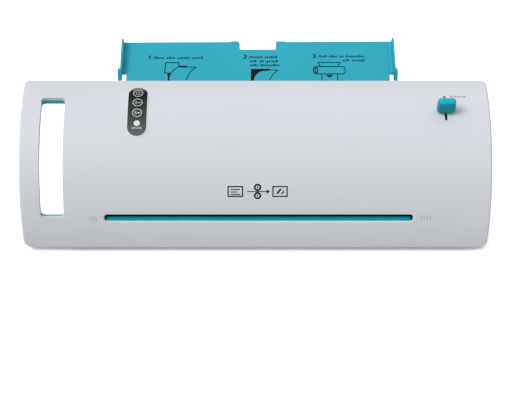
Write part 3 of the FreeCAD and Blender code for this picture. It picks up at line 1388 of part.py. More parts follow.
# ---------------------------------------------------------------- all pieces, by Label
PIECES = {
    "upper_shell": upper_shell(),
    "handle_liner": handle_liner(),
    "lower_case": lower_case(),
    "rear_panel": rear_panel(),
    "input_guide_lower": input_guide_lower(),
    "input_guide_upper": input_guide_upper(),
    "output_guide_lower": output_guide_lower(),
    "output_guide_upper": output_guide_upper(),
    "side_frame_left": side_frame_left(),
    "side_frame_right": side_frame_right(),
    "tie_rods": tie_rods(),
    "frame_screws": frame_screws(),
    "lower_roller_shaft": roller_shaft("lower_roller_shaft", "lower_z"),
    "lower_roller_sleeve": roller_sleeve("lower_roller_sleeve", "lower_z"),
    "upper_roller_shaft": roller_shaft("upper_roller_shaft", "upper_z"),
    "upper_roller_sleeve": roller_sleeve("upper_roller_sleeve", "upper_z"),
    "lower_bushes": lower_bushes(),
    "upper_bushes": upper_bushes(),
    "bearing_carrier_left": bearing_carrier("bearing_carrier_left", LEFT_CARRIER, LEFT_TONGUE),
    "bearing_carrier_right": bearing_carrier("bearing_carrier_right", RIGHT_CARRIER,
                                             RIGHT_TONGUE),
    "pressure_springs": pressure_springs(),
    "lower_roller_gear": roller_gear("lower_roller_gear", LOWER_Z, LOWER_PHASE),
    "upper_roller_gear": roller_gear("upper_roller_gear", UPPER_Z, UPPER_PHASE),
    "idler_gear": idler_gear(),
    "motor_pinion": motor_pinion(),
    "idler_pin": idler_pin(),
    "motor_bracket": motor_bracket(),
    "ac_motor": ac_motor(),
    "motor_shaft": motor_shaft(),
    "lower_heater_shoe": lower_heater_shoe(),
    "upper_heater_shoe": upper_heater_shoe(),
    "heater_elements": heater_elements(),
    "heat_shield_lower": profile_x("heat_shield_lower", -115.0, 236.0, LOWER_SHIELD),
    "heat_shield_upper": profile_x("heat_shield_upper", -114.0, 234.0, UPPER_SHIELD),
    "thermostat": thermostat(),
    "thermal_fuse": thermal_fuse(),
    "cam_shaft": cam_shaft(),
    "lift_cams": lift_cams(),
    "release_lever": release_lever(),
    "release_knob": release_knob(),
    "control_panel": control_panel(),
    "panel_bezel": panel_bezel(),
    "power_button": button("power_button", "key_power"),
    "thin_pouch_button": button("thin_pouch_button", "key_thin"),
    "thick_pouch_button": button("thick_pouch_button", "key_thick"),
    "light_pipe": light_pipe(),
    "control_board": control_board(),
    "tact_switches": tact_switches(),
    "ready_led": ready_led(),
    "main_board": main_board(),
    "board_components": board_components(),
    "input_tray": input_tray(),
    "tray_hinge_pins": tray_hinge_pins(),
    "feet": feet(),
    "case_screws": case_screws(),
    "panel_screws": panel_screws(),
    "strain_relief": strain_relief(),
    "power_cord": power_cord(),
    "power_plug": power_plug(),
    "wire_harness": wire_harness(),
}
for label, piece in PIECES.items():
    piece.Label = label

# ---------------------------------------------------------------- check and write
doc.recompute()
failed = [item.Name for item in doc.Objects if "Invalid" in item.State or "Error" in item.State]
if failed:
    raise SystemExit("failed objects: %s" % failed)
for label, piece in PIECES.items():
    shape = piece.Shape
    if shape.isNull() or not shape.isValid():
        raise SystemExit("bad shape: " + label)
    if not shape.Solids:
        raise SystemExit("no solid: " + label)
    shape.exportStep("parts/%s.step" % label)
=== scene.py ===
"""Looks of a desktop pouch laminator, built over its CAD pieces.

Frame: metres, +Z up, the front of the machine faces -Y, +X is to the right seen from the front.
The upper shell is an arc cover whose axis runs along X. The finished sheet leaves through a slot
low in its front; the input tray rises towards the rear.
"""
import json
import math
import bpy
import bmesh
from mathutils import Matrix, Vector
from mathutils.geometry import tessellate_polygon


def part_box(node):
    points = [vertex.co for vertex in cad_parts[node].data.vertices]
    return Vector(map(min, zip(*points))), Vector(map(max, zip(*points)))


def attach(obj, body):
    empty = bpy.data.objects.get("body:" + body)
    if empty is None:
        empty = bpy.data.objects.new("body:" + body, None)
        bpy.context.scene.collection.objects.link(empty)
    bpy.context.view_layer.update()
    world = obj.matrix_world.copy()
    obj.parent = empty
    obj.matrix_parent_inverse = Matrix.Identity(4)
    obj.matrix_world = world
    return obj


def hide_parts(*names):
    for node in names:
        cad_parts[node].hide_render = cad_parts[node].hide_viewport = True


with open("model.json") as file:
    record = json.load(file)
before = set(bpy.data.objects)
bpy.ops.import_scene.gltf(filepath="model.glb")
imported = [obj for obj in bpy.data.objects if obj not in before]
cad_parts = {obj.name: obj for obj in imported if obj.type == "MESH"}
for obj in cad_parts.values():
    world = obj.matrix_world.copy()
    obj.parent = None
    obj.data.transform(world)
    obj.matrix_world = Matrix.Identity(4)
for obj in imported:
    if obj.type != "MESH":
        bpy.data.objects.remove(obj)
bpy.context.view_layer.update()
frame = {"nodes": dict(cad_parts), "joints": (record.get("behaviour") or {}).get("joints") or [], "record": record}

MM = 0.001
scene = bpy.context.scene

# ------------------------------------------------------------------ frame of reference
JOINTS = {joint["name"]: joint for joint in frame["joints"]}
SLOT_OF = {part["node"]: part["material_slot"] for part in frame["record"]["subparts"]}

COVER_R = 0.088                      # outer radius of the arc cover
shell_lo, shell_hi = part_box("upper_shell")
AXIS_Y = shell_lo.y + COVER_R        # axis of the arc cover
AXIS_Z = shell_hi.z - COVER_R

TRAY_SLOPE = math.radians(12.0)
TRAY_UP = Vector((0, math.cos(TRAY_SLOPE), math.sin(TRAY_SLOPE)))
TRAY_NORMAL = Vector((0, -math.sin(TRAY_SLOPE), math.cos(TRAY_SLOPE)))
tray_hinge = Vector(JOINTS["tray_hinge"]["pos_m"])
TRAY_FRONT = (Vector((0, tray_hinge.y, tray_hinge.z))
              - TRAY_UP * 0.01624 + TRAY_NORMAL * 0.01212)
tray_lo, tray_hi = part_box("input_tray")

panel_lo, panel_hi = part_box("control_panel")
PANEL_X = (panel_lo.x + panel_hi.x) / 2
KEY_FACE_R = 0.0890                  # distance of the key faces from the cover axis


def on_cover(x, theta, radius):
    """Point on the arc cover; theta is in degrees above the front horizontal."""
    angle = math.radians(theta)
    return Vector((x, AXIS_Y - radius * math.cos(angle), AXIS_Z + radius * math.sin(angle)))


# Places for prints: each takes u to the right, v up the surface and a height, in millimetres.
def tray_place(u, v, height):
    """Point on the tray, v measured from its front edge."""
    return (Vector((u * MM, 0, 0)) + TRAY_FRONT
            + TRAY_UP * (v * MM) + TRAY_NORMAL * (height * MM))


def cover_place(x, theta, radius=COVER_R):
    """Place that wraps around the cover from a point on it."""
    def place(u, v, height):
        return on_cover(x + u * MM, theta + math.degrees(v * MM / COVER_R), radius + height * MM)
    return place


def key_place(theta):
    """Flat place on the face of a panel key, tangent to the cover."""
    centre = on_cover(PANEL_X, theta, KEY_FACE_R)
    angle = math.radians(theta)
    normal = Vector((0, -math.cos(angle), math.sin(angle)))
    up = Vector((0, math.sin(angle), math.cos(angle)))

    def place(u, v, height):
        return centre + Vector((u * MM, 0, 0)) + up * (v * MM) + normal * (height * MM)
    return place


# ------------------------------------------------------------------ colours
def srgb(red, green, blue):
    """Linear RGBA from 8-bit sRGB."""
    def linear(c):
        return (c / 255.0) / 12.92 if c <= 10.31 else (((c / 255.0) + 0.055) / 1.055) ** 2.4
    return (linear(red), linear(green), linear(blue), 1.0)


def grey(level):
    return (level, level, level, 1)


def opaque(colour):
    return tuple(colour[:3]) + (1.0,)


def scaled(colour, factor):
    return tuple(min(1.0, c * factor) for c in colour[:3]) + (1.0,)


def towards(colour, level, amount):
    """Colour moved part of the way to a grey level."""
    return tuple(c + (level - c) * amount for c in colour[:3]) + (1.0,)


# ------------------------------------------------------------------ shader node helpers
def feed(tree, socket, value):
    """Link an output socket, or set a plain value."""
    if hasattr(value, "is_output"):
        tree.links.new(value, socket)
    else:
        socket.default_value = value


def set_inputs(tree, node, **inputs):
    """Feed inputs by name, with underscores standing for spaces."""
    for name, value in inputs.items():
        feed(tree, node.inputs[name.replace("_", " ")], value)


def add(tree, kind, **inputs):
    node = tree.nodes.new("ShaderNode" + kind)
    set_inputs(tree, node, **inputs)
    return node


def new_material(name):
    """Empty material with a Principled shader; returns material, tree and shader."""
    material = bpy.data.materials.new(name)
    material.use_nodes = True
    tree = material.node_tree
    for node in list(tree.nodes):
        tree.nodes.remove(node)
    output = add(tree, "OutputMaterial")
    shader = add(tree, "BsdfPrincipled")
    tree.links.new(shader.outputs["BSDF"], output.inputs["Surface"])
    return material, tree, shader


def object_coords(tree):
    return add(tree, "TexCoord").outputs["Object"]


def mapped_coords(tree, scale=(1, 1, 1)):
    return add(tree, "Mapping", Vector=object_coords(tree), Scale=scale).outputs["Vector"]


def noise(tree, vector, **inputs):
    return add(tree, "TexNoise", Vector=vector, **inputs).outputs["Fac"]


def axis_of(tree, vector, axis):
    return add(tree, "SeparateXYZ", Vector=vector).outputs[axis]


def map_range(tree, value, **limits):
    return add(tree, "MapRange", Value=value, **limits).outputs["Result"]


def ramp(tree, factor, stops):
    """Colour ramp from (position, colour) stops."""
    node = add(tree, "ValToRGB", Fac=factor)
    elements = node.color_ramp.elements
    elements.remove(elements[-1])
    elements[0].position, elements[0].color = stops[0]
    for position, colour in stops[1:]:
        elements.new(position).color = colour
    return node.outputs["Color"]


def mix(tree, factor, first, second, mode="MIX"):
    node = add(tree, "Mix")
    node.data_type = "RGBA"
    node.blend_type = mode
    # sockets 0, 6 and 7 are the factor and the two colours
    for index, value in ((0, factor), (6, first), (7, second)):
        feed(tree, node.inputs[index], value)
    return node.outputs[2]


def multiply(tree, first, second):
    node = add(tree, "Math")
    node.operation = "MULTIPLY"
    feed(tree, node.inputs[0], first)
    feed(tree, node.inputs[1], second)
    return node.outputs[0]


def bump(tree, shader, height, strength, distance):
    node = add(tree, "Bump", Strength=strength, Distance=distance, Height=height)
    tree.links.new(node.outputs["Normal"], shader.inputs["Normal"])


def edge_factor(tree):
    """0 on flat faces, rising along sharp edges."""
    bevel = add(tree, "Bevel", Radius=0.0006)
    bevel.samples = 4
    geometry = add(tree, "NewGeometry")
    dot = add(tree, "VectorMath")
    dot.operation = "DOT_PRODUCT"
    tree.links.new(bevel.outputs["Normal"], dot.inputs[0])
    tree.links.new(geometry.outputs["Normal"], dot.inputs[1])
    return map_range(tree, dot.outputs["Value"], From_Min=1.0, From_Max=0.72)


# ------------------------------------------------------------------ material families
def moulded(name, colour, rough=0.42, grain=0.05, vary=0.035, coat=0.0, edge=0.06,
            specular=0.5, mottle=18.0):
    """Moulded plastic: fine grain, slow tint drift of scale mottle, and sharp edges lightened as a painted
    highlight.
    """
    material, tree, shader = new_material(name)
    coords = mapped_coords(tree)
    slow = noise(tree, coords, Scale=mottle, Detail=3.0, Roughness=0.55)
    fine = noise(tree, coords, Scale=2600.0, Detail=2.0, Roughness=0.6)
    drift = ramp(tree, slow, [(0.32, scaled(colour, 1 - vary)), (0.5, opaque(colour)),
                              (0.7, scaled(colour, 1 + vary))])
    speck = ramp(tree, fine, [(0.30, grey(0.955)), (0.62, grey(1))])
    body = mix(tree, 1.0, drift, speck, "MULTIPLY")
    # painted highlight: sharp edges are lightened towards white
    edge_highlight = multiply(tree, edge_factor(tree), edge)
    set_inputs(
        tree, shader,
        Base_Color=mix(tree, edge_highlight, body, towards(colour, 1, 0.35)),
        Roughness=map_range(tree, slow, To_Min=rough - 0.05, To_Max=rough + 0.07),
        Specular_IOR_Level=specular, Coat_Weight=coat, Coat_Roughness=0.12)
    bump(tree, shader, fine, strength=grain * 4, distance=0.00008)
    return material


def metal(name, colour, rough=0.32, stretch=(12.0, 900.0, 900.0), aniso=0.4, metallic=1.0,
          tint=0.06):
    """Drawn or ground metal: stretched fine scratches and cloudy roughness."""
    material, tree, shader = new_material(name)
    lines = noise(tree, mapped_coords(tree, stretch), Scale=1.0, Detail=4.0, Roughness=0.65)
    cloud = noise(tree, mapped_coords(tree), Scale=60.0, Detail=3.0)
    set_inputs(
        tree, shader,
        Base_Color=ramp(tree, lines, [(0.3, scaled(colour, 1 - tint * 2)),
                                      (0.7, scaled(colour, 1 + tint))]),
        Metallic=metallic,
        Roughness=map_range(tree, cloud, To_Min=rough - 0.08, To_Max=rough + 0.12),
        Anisotropic=aniso)
    bump(tree, shader, lines, strength=0.06, distance=0.00004)
    return material


def rubber(name, colour, rough=0.72, cell=1800.0):
    """Matt rubber with a fine cell texture and a dusty drift."""
    material, tree, shader = new_material(name)
    coords = mapped_coords(tree)
    cells = add(tree, "TexVoronoi", Vector=coords, Scale=cell)
    slow = noise(tree, coords, Scale=90.0, Detail=4.0)
    set_inputs(
        tree, shader,
        Base_Color=ramp(tree, slow, [(0.35, opaque(colour)), (0.75, towards(colour, 0.55, 0.10))]),
        Roughness=rough, Specular_IOR_Level=0.35)
    bump(tree, shader, cells.outputs["Distance"], strength=0.25, distance=0.00005)
    return material


def ink(name, colour, rough=0.55):
    """Screen-printed ink: slightly uneven coverage and a low sheen."""
    material, tree, shader = new_material(name)
    cover = noise(tree, mapped_coords(tree), Scale=900.0, Detail=3.0)
    set_inputs(
        tree, shader,
        Base_Color=ramp(tree, cover, [(0.45, opaque(colour)), (0.72, towards(colour, 1, 0.03))]),
        Roughness=rough, Specular_IOR_Level=0.10)
    bump(tree, shader, cover, strength=0.1, distance=0.00003)
    return material


# ------------------------------------------------------------------ single materials
def board_material():
    """Circuit board: green mask in a fine brick pattern with lighter joints."""
    material, tree, shader = new_material("board")
    brick = add(tree, "TexBrick", Vector=mapped_coords(tree, (420.0, 420.0, 420.0)),
                Color1=(0.018, 0.11, 0.045, 1), Color2=(0.022, 0.14, 0.055, 1),
                Mortar=(0.05, 0.20, 0.08, 1), Scale=1.0, Mortar_Size=0.03)
    set_inputs(tree, shader, Base_Color=brick.outputs["Color"], Roughness=0.35)
    bump(tree, shader, brick.outputs["Fac"], strength=0.2, distance=0.00004)
    return material


def strip_material():
    """Glossy dark strip under a clear coat, darkest past its middle and lighter towards both ends: painted shade
    and reflection along the curve.
    """
    material, tree, shader = new_material("strip_gloss")
    coords = object_coords(tree)
    along = map_range(tree, axis_of(tree, coords, "Y"), From_Min=panel_lo.y, From_Max=panel_hi.y)
    patchy = noise(tree, coords, Scale=260.0, Detail=3.0)
    # position from the front end to the rear end of the strip, colour
    # painted shade and reflection: darkened across the middle, lightened where the curve catches light at both
    # ends
    painted_light_along_strip = ramp(tree, along, [
        (0.0, srgb(96, 103, 97)), (0.12, srgb(84, 91, 84)), (0.34, srgb(62, 68, 62)),
        (0.56, srgb(46, 52, 46)), (0.70, srgb(28, 33, 28)), (0.80, srgb(6, 9, 7)),
        (0.90, srgb(20, 24, 20)), (0.945, srgb(98, 106, 97)), (1.0, srgb(122, 130, 120))])
    tint = ramp(tree, patchy, [(0.3, grey(0.94)), (0.7, grey(1))])
    set_inputs(tree, shader, Base_Color=mix(tree, 1.0, painted_light_along_strip, tint, "MULTIPLY"), Roughness=0.30,
               Specular_IOR_Level=0.16, Coat_Weight=0.10, Coat_Roughness=0.08)
    bump(tree, shader, patchy, strength=0.02, distance=0.00005)
    return material


def lamp_material():
    """Milky lamp window with a very faint glow."""
    material, tree, shader = new_material("lamp_milky")
    cloud = noise(tree, mapped_coords(tree), Scale=700.0, Detail=2.0)
    set_inputs(
        tree, shader,
        Base_Color=ramp(tree, cloud, [(0.3, srgb(212, 218, 210)), (0.7, srgb(224, 230, 222))]),
        Roughness=0.25, Subsurface_Weight=0.2, Subsurface_Scale=0.002,
        Emission_Color=(0.9, 1.0, 0.9, 1), Emission_Strength=0.02)
    return material


def floor_material():
    """Paper sweep that glows near white to the camera; the glow drops near the machine, so the soft contact shadow
    is partly rendered and partly painted shade.
    """
    material, tree, shader = new_material("floor_paper")
    patchy = noise(tree, mapped_coords(tree), Scale=3.0, Detail=2.0)
    occlusion = add(tree, "AmbientOcclusion", Distance=0.030)
    occlusion.samples = 8
    # less glow where something stands close by, which paints extra contact shade under the machine on top of the
    # rendered shadow
    glow_outside_contact_shade = map_range(tree, occlusion.outputs["AO"], From_Min=0.50, From_Max=0.80,
                           To_Min=0.12, To_Max=0.75)
    camera_ray = add(tree, "LightPath").outputs["Is Camera Ray"]
    set_inputs(
        tree, shader,
        Base_Color=ramp(tree, patchy, [(0.3, (0.79, 0.79, 0.795, 1)), (0.7, grey(0.81))]),
        Roughness=0.9, Specular_IOR_Level=0.1,
        Emission_Color=grey(1), Emission_Strength=multiply(tree, camera_ray, glow_outside_contact_shade))
    return material


# keyed by material slot
MATERIALS = {
    "cover_white": moulded("cover_white", srgb(214, 217, 219), rough=0.40, grain=0.035,
                           vary=0.012, edge=0.35, specular=0.42, mottle=7.0),
    "case_grey": moulded("case_grey", srgb(196, 201, 206), rough=0.5, grain=0.07, vary=0.03,
                         edge=0.25),
    "teal": moulded("teal", srgb(38, 167, 186), vary=0.03, edge=0.10, mottle=12.0,
                    specular=0.32),
    "knob_teal": moulded("knob_teal", srgb(34, 178, 188), rough=0.36, grain=0.02, vary=0.03,
                         edge=0.0, specular=0.12),
    "strip_dark": strip_material(),
    "strip_rim": moulded("strip_rim", srgb(222, 228, 230), rough=0.22, grain=0.01, vary=0.02,
                         edge=0.2, coat=0.2),
    "lamp": lamp_material(),
    "led": lamp_material(),
    "steel": metal("steel", (0.56, 0.56, 0.58), rough=0.28),
    "sheet": metal("sheet", (0.60, 0.62, 0.63), rough=0.42, stretch=(160.0, 160.0, 900.0),
                   tint=0.10),
    "aluminium": metal("aluminium", (0.74, 0.75, 0.77), rough=0.36),
    "silicone": rubber("silicone", (0.22, 0.030, 0.016), rough=0.6, cell=2600.0),
    "gear_white": moulded("gear_white", srgb(228, 226, 214), rough=0.38, grain=0.03, vary=0.03,
                          edge=0.2),
    "bronze": metal("bronze", (0.46, 0.29, 0.12), rough=0.45, stretch=(500.0, 500.0, 500.0),
                    aniso=0.0),
    "black_plastic": moulded("black_plastic", (0.016, 0.016, 0.018), rough=0.48, grain=0.08,
                             vary=0.12),
    "board": board_material(),
    "parts_dark": moulded("parts_dark", (0.03, 0.03, 0.035), rough=0.5, grain=0.06, vary=0.1,
                          edge=0.08),
    "mica": metal("mica", (0.40, 0.30, 0.18), rough=0.6, stretch=(40.0, 500.0, 500.0),
                  metallic=0.0, aniso=0.0, tint=0.15),
    "motor_zinc": metal("motor_zinc", (0.55, 0.56, 0.55), rough=0.4,
                        stretch=(600.0, 60.0, 60.0), tint=0.10),
    "foot_rubber": rubber("foot_rubber", (0.045, 0.045, 0.048)),
    "wire": moulded("wire", srgb(214, 208, 196), rough=0.45, grain=0.03, vary=0.06, edge=0.0),
}


def shade_base(material, stops, factor_of):
    """Multiply the base colour by a ramp over the factor that factor_of(tree) gives; this paints shade into the
    colour.
    """
    tree = material.node_tree
    shader = next(node for node in tree.nodes if node.type == "BSDF_PRINCIPLED")
    old = shader.inputs["Base Color"].links[0].from_socket
    shade = ramp(tree, factor_of(tree), stops)
    tree.links.new(mix(tree, 1.0, old, shade, "MULTIPLY"), shader.inputs["Base Color"])


def normal_height(tree):
    return axis_of(tree, add(tree, "NewGeometry").outputs["Normal"], "Z")


def along_axis(axis, low, high):
    """Factor running from 0 at low to 1 at high along one object axis."""
    def factor(tree):
        return map_range(tree, axis_of(tree, object_coords(tree), axis),
                         From_Min=low, From_Max=high)
    return factor


# painted shade: the knob's upright faces are darkened and its top kept light, following how the light falls on
# them
shade_base(MATERIALS["knob_teal"],
           [(0.0, (0.04, 0.64, 0.70, 1)), (0.40, (0.08, 0.68, 0.74, 1)),
            (0.66, (0.85, 0.97, 0.97, 1)), (1.0, grey(1))], normal_height)

# lip of the exit slot: teal in front, with painted shade turning it black behind and at its ends, where the inside
# of the slot lies in shadow
LIP_SHADE_START_Y = AXIS_Y - 0.0786        # middle of the change from teal to the painted black shade
LIP_BAND = 0.004                     # half the depth that the ramp covers
LIP_SHADE_LEFT, LIP_SHADE_RIGHT = -0.1288, 0.1342
LIP_SHADE_BLACK, LIP_KEEP = (0.012, 0.012, 0.013, 1), grey(1)
LIP_WITH_SHADE = moulded("lip_painted_shade", srgb(20, 160, 178), vary=0.03, edge=0.0, specular=0.2)
shade_base(LIP_WITH_SHADE, [(0.0, LIP_KEEP), (0.475, LIP_KEEP), (0.525, LIP_SHADE_BLACK), (1.0, LIP_SHADE_BLACK)],
           along_axis("Y", LIP_SHADE_START_Y - LIP_BAND, LIP_SHADE_START_Y + LIP_BAND))
shade_base(LIP_WITH_SHADE, [(0.0, LIP_SHADE_BLACK), (0.012, LIP_SHADE_BLACK), (0.018, LIP_KEEP),
                 (0.982, LIP_KEEP), (0.988, LIP_SHADE_BLACK), (1.0, LIP_SHADE_BLACK)],
           along_axis("X", LIP_SHADE_LEFT, LIP_SHADE_RIGHT))

INK_DARK = ink("ink_charcoal", srgb(34, 42, 52))
INK_GREY = ink("ink_grey", srgb(150, 156, 158))
INK_TRAY = ink("ink_tray", srgb(6, 24, 30))
INK_TEXT = ink("ink_text", srgb(6, 62, 74))
INK_BLACK = ink("ink_black", srgb(14, 8, 6))
INK_PALE = ink("ink_pale", srgb(188, 196, 190), rough=0.35)


# ------------------------------------------------------------------ mesh helpers
def smooth_by_angle(obj, angle):
    """Smooth shading, with edges kept sharp where faces meet at more than the angle."""
    mesh = obj.data
    bm = bmesh.new()
    bm.from_mesh(mesh)
    limit = math.radians(angle)
    sharp = [not edge.is_manifold or edge.calc_face_angle(0.0) > limit for edge in bm.edges]
    bm.free()
    mesh.polygons.foreach_set("use_smooth", [True] * len(mesh.polygons))
    marks = (mesh.attributes.get("sharp_edge")
             or mesh.attributes.new("sharp_edge", "BOOLEAN", "EDGE"))
    marks.data.foreach_set("value", sharp)
    mesh.update()


def link_mesh(name, bm, material):
    mesh = bpy.data.meshes.new(name)
    bm.to_mesh(mesh)
    bm.free()
    mesh.materials.append(material)
    obj = bpy.data.objects.new(name, mesh)
    scene.collection.objects.link(obj)
    return obj


def make_object(name, bm, material, body, angle=None):
    """Object riding on a body; flat shaded unless a smoothing angle is given."""
    bmesh.ops.recalc_face_normals(bm, faces=bm.faces)
    obj = link_mesh(name, bm, material)
    if angle is not None:
        smooth_by_angle(obj, angle)
    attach(obj, body)
    return obj


def bridge(bm, first, second, closed=True):
    """Quads between two rows of vertices."""
    count = len(first)
    for i in range(count if closed else count - 1):
        j = (i + 1) % count
        bm.faces.new((first[i], first[j], second[j], second[i]))


def turned_columns(bm, centre, profile, count):
    """Columns of vertices around an axis along Y; profile rows are (y, radius) in mm."""
    x, y, z = centre
    columns = []
    for i in range(count):
        angle = 2 * math.pi * i / count
        columns.append([bm.verts.new((x + radius * MM * math.cos(angle), y + along * MM,
                                      z + radius * MM * math.sin(angle)))
                        for along, radius in profile])
    return columns


def ellipse(u, v, half_u, half_v, degrees):
    return [(u + half_u * math.cos(math.radians(a)), v + half_v * math.sin(math.radians(a)))
            for a in degrees]


def full_turn(count):
    return [360.0 * i / count for i in range(count)]


class Print:
    """Thin printed shapes on a surface, in millimetres.

    place(u, v, height) gives the 3D point, low and high are the heights of the underside and
    top, and step is the longest piece wanted in a line, so that it follows a curved surface.
    """

    def __init__(self, place, low=-0.05, high=0.06, step=2.0):
        self.bm = bmesh.new()
        self.place, self.low, self.high, self.step = place, low, high, step

    def verts(self, points, height):
        return [self.bm.verts.new(self.place(u, v, height)) for u, v in points]

    def strip(self, left, right, closed=False):
        """Closed solid between two polylines of equal length."""
        faces, count = self.bm.faces, len(left)
        top_l, top_r = self.verts(left, self.high), self.verts(right, self.high)
        low_l, low_r = self.verts(left, self.low), self.verts(right, self.low)
        for i in range(count if closed else count - 1):
            j = (i + 1) % count
            faces.new((top_l[i], top_r[i], top_r[j], top_l[j]))
            faces.new((low_l[i], low_l[j], low_r[j], low_r[i]))
            faces.new((top_l[i], top_l[j], low_l[j], low_l[i]))
            faces.new((top_r[i], low_r[i], low_r[j], top_r[j]))
        if not closed:
            faces.new((top_l[0], low_l[0], low_r[0], top_r[0]))
            faces.new((top_l[-1], top_r[-1], low_r[-1], low_l[-1]))

    def line(self, corners, width, closed=False):
        """Mitred ribbon along points."""
        points = []
        for i in range(len(corners) if closed else len(corners) - 1):
            start, end = Vector(corners[i]), Vector(corners[(i + 1) % len(corners)])
            pieces = max(1, int((end - start).length / self.step))
            points += [start.lerp(end, k / pieces) for k in range(pieces)]
        if not closed:
            points.append(Vector(corners[-1]))
        count = len(points)
        left, right = [], []
        for i, point in enumerate(points):
            before = (point - points[i - 1]).normalized()
            after = (points[(i + 1) % count] - point).normalized()
            if not closed and i == 0:
                before = after
            elif not closed and i == count - 1:
                after = before
            tangent = before + after
            tangent = tangent.normalized() if tangent.length > 1e-6 else after
            across = Vector((-tangent.y, tangent.x))
            mitre = max(0.35, across.dot(Vector((-after.y, after.x))))
            offset = across * (width / 2 / mitre)
            left.append(tuple(point + offset))
            right.append(tuple(point - offset))
        self.strip(left, right, closed)

    def frame(self, u0, u1, v0, v1, width):
        self.line([(u0, v0), (u1, v0), (u1, v1), (u0, v1)], width, closed=True)

    def ring(self, u, v, inner, outer, count, stretch=1.0):
        """Ring, stretched along v."""
        turn = full_turn(count)
        self.strip(ellipse(u, v, inner, inner * stretch, turn),
                   ellipse(u, v, outer, outer * stretch, turn), closed=True)

    def disc(self, u, v, radius, count):
        self.poly(ellipse(u, v, radius, radius, full_turn(count)))

    def bar(self, u0, u1, v0, v1):
        """Filled upright rectangle, cut into steps along v."""
        pieces = max(1, int(abs(v1 - v0) / self.step))
        levels = [v0 + (v1 - v0) * i / pieces for i in range(pieces + 1)]
        self.strip([(u0, v) for v in levels], [(u1, v) for v in levels])

    def poly(self, points):
        """Filled outline."""
        faces, count = self.bm.faces, len(points)
        triangles = tessellate_polygon([[Vector((u, v, 0)) for u, v in points]])
        top, low = self.verts(points, self.high), self.verts(points, self.low)
        for triangle in triangles:
            # guards against a repeated or degenerate triangle from the tessellation
            try:
                faces.new([top[i] for i in triangle])
                faces.new([low[i] for i in reversed(triangle)])
            except ValueError:
                pass
        for i in range(count):
            j = (i + 1) % count
            faces.new((top[i], top[j], low[j], low[i]))

    def numeral(self, number, u, v, height, width):
        """1, 2 or 3 drawn as one stroke, from its lower left corner."""
        wide = height * 0.55

        def bow(centre_u, centre_v, half_u, half_v, degrees):
            return ellipse(u + wide * centre_u, v + height * centre_v,
                           wide * half_u, height * half_v, degrees)

        if number == 1:
            points = [(u + wide * 0.15, v + height * 0.74), (u + wide * 0.6, v + height),
                      (u + wide * 0.6, v)]
        elif number == 2:
            points = bow(0.5, 0.70, 0.42, 0.26, range(165, -46, -15))
            points += [(u + wide * 0.05, v + width / 2), (u + wide, v + width / 2)]
        else:
            points = bow(0.42, 0.75, 0.42, 0.22, range(150, -91, -15))
            points += bow(0.42, 0.27, 0.5, 0.26, range(90, -151, -15))[1:]
        self.line(points, width)

    def blocks(self, u, v, pattern, pitch, tall):
        """Plain blocks for lettering: x low, h tall, p hanging, a space leaves a gap."""
        for i, letter in enumerate(pattern):
            if letter == " ":
                continue
            start = u + i * pitch
            low = v - tall * 0.30 if letter == "p" else v
            high = v + tall if letter == "h" else v + tall * 0.68
            self.bar(start, start + pitch * 0.70, low, high)

    def done(self, name, material, body):
        make_object(name, self.bm, material, body)


# ------------------------------------------------------------------ CAD pieces
def dress_cad_pieces():
    for name, obj in frame["nodes"].items():
        obj.data.materials.clear()
        # the exit slot's lower guide takes the teal lip material with painted black shade inside the slot
        obj.data.materials.append(
            LIP_WITH_SHADE if name == "output_guide_lower" else MATERIALS[SLOT_OF[name]])
        smooth_by_angle(obj, 30.0)


# ------------------------------------------------------------------ release knob
LEVER_LEAN = math.radians(9.7)
LEVER_UP = Vector((0, -math.sin(LEVER_LEAN), math.cos(LEVER_LEAN)))     # along the lever
LEVER_BACK = Vector((0, math.cos(LEVER_LEAN), math.sin(LEVER_LEAN)))    # across it, to the rear
KNOB_ABOVE_PIVOT = 0.0399
KNOB_TALL = 13.2                     # mm, like the rest of the knob
KNOB_TOP_ROUND, KNOB_BOTTOM_ROUND = 2.7, 1.7
# heights of the knob's sections, closer together in the roundings
KNOB_HEIGHTS = (0.0, 0.06, 0.2, 0.45, 0.8, 1.2, 1.7, 2.8, 4.2, 6.0, 8.0, 9.6, 10.5, 11.0,
                11.5, 11.95, 12.35, 12.7, 12.95, 13.1, 13.17, KNOB_TALL)


def knob_section(height):
    """Half width, half depth, depth centre and corner radius at a height."""
    taper = height / KNOB_TALL
    front, rear = -5.2 + 1.8 * taper, 3.5 - 0.3 * taper
    rounding, into = KNOB_TOP_ROUND, height - (KNOB_TALL - KNOB_TOP_ROUND)
    if height < KNOB_BOTTOM_ROUND:
        rounding, into = KNOB_BOTTOM_ROUND, KNOB_BOTTOM_ROUND - height
    share = max(0.0, into) / rounding
    inset = rounding * (1 - math.sqrt(max(0.0, 1 - share * share)))
    return (7.8 - 0.4 * taper - inset, (rear - front) / 2 - inset, (rear + front) / 2,
            max(0.4, 2.6 - inset * 0.6))


def rounded_rect(half_u, half_v, radius, steps=8):
    radius = min(radius, half_u - 0.01, half_v - 0.01)
    points = []
    for side_u, side_v, start in ((1, 1, 0), (-1, 1, 90), (-1, -1, 180), (1, -1, 270)):
        points += ellipse(side_u * (half_u - radius), side_v * (half_v - radius), radius, radius,
                          [start + 90.0 * k / steps for k in range(steps + 1)])
    return points


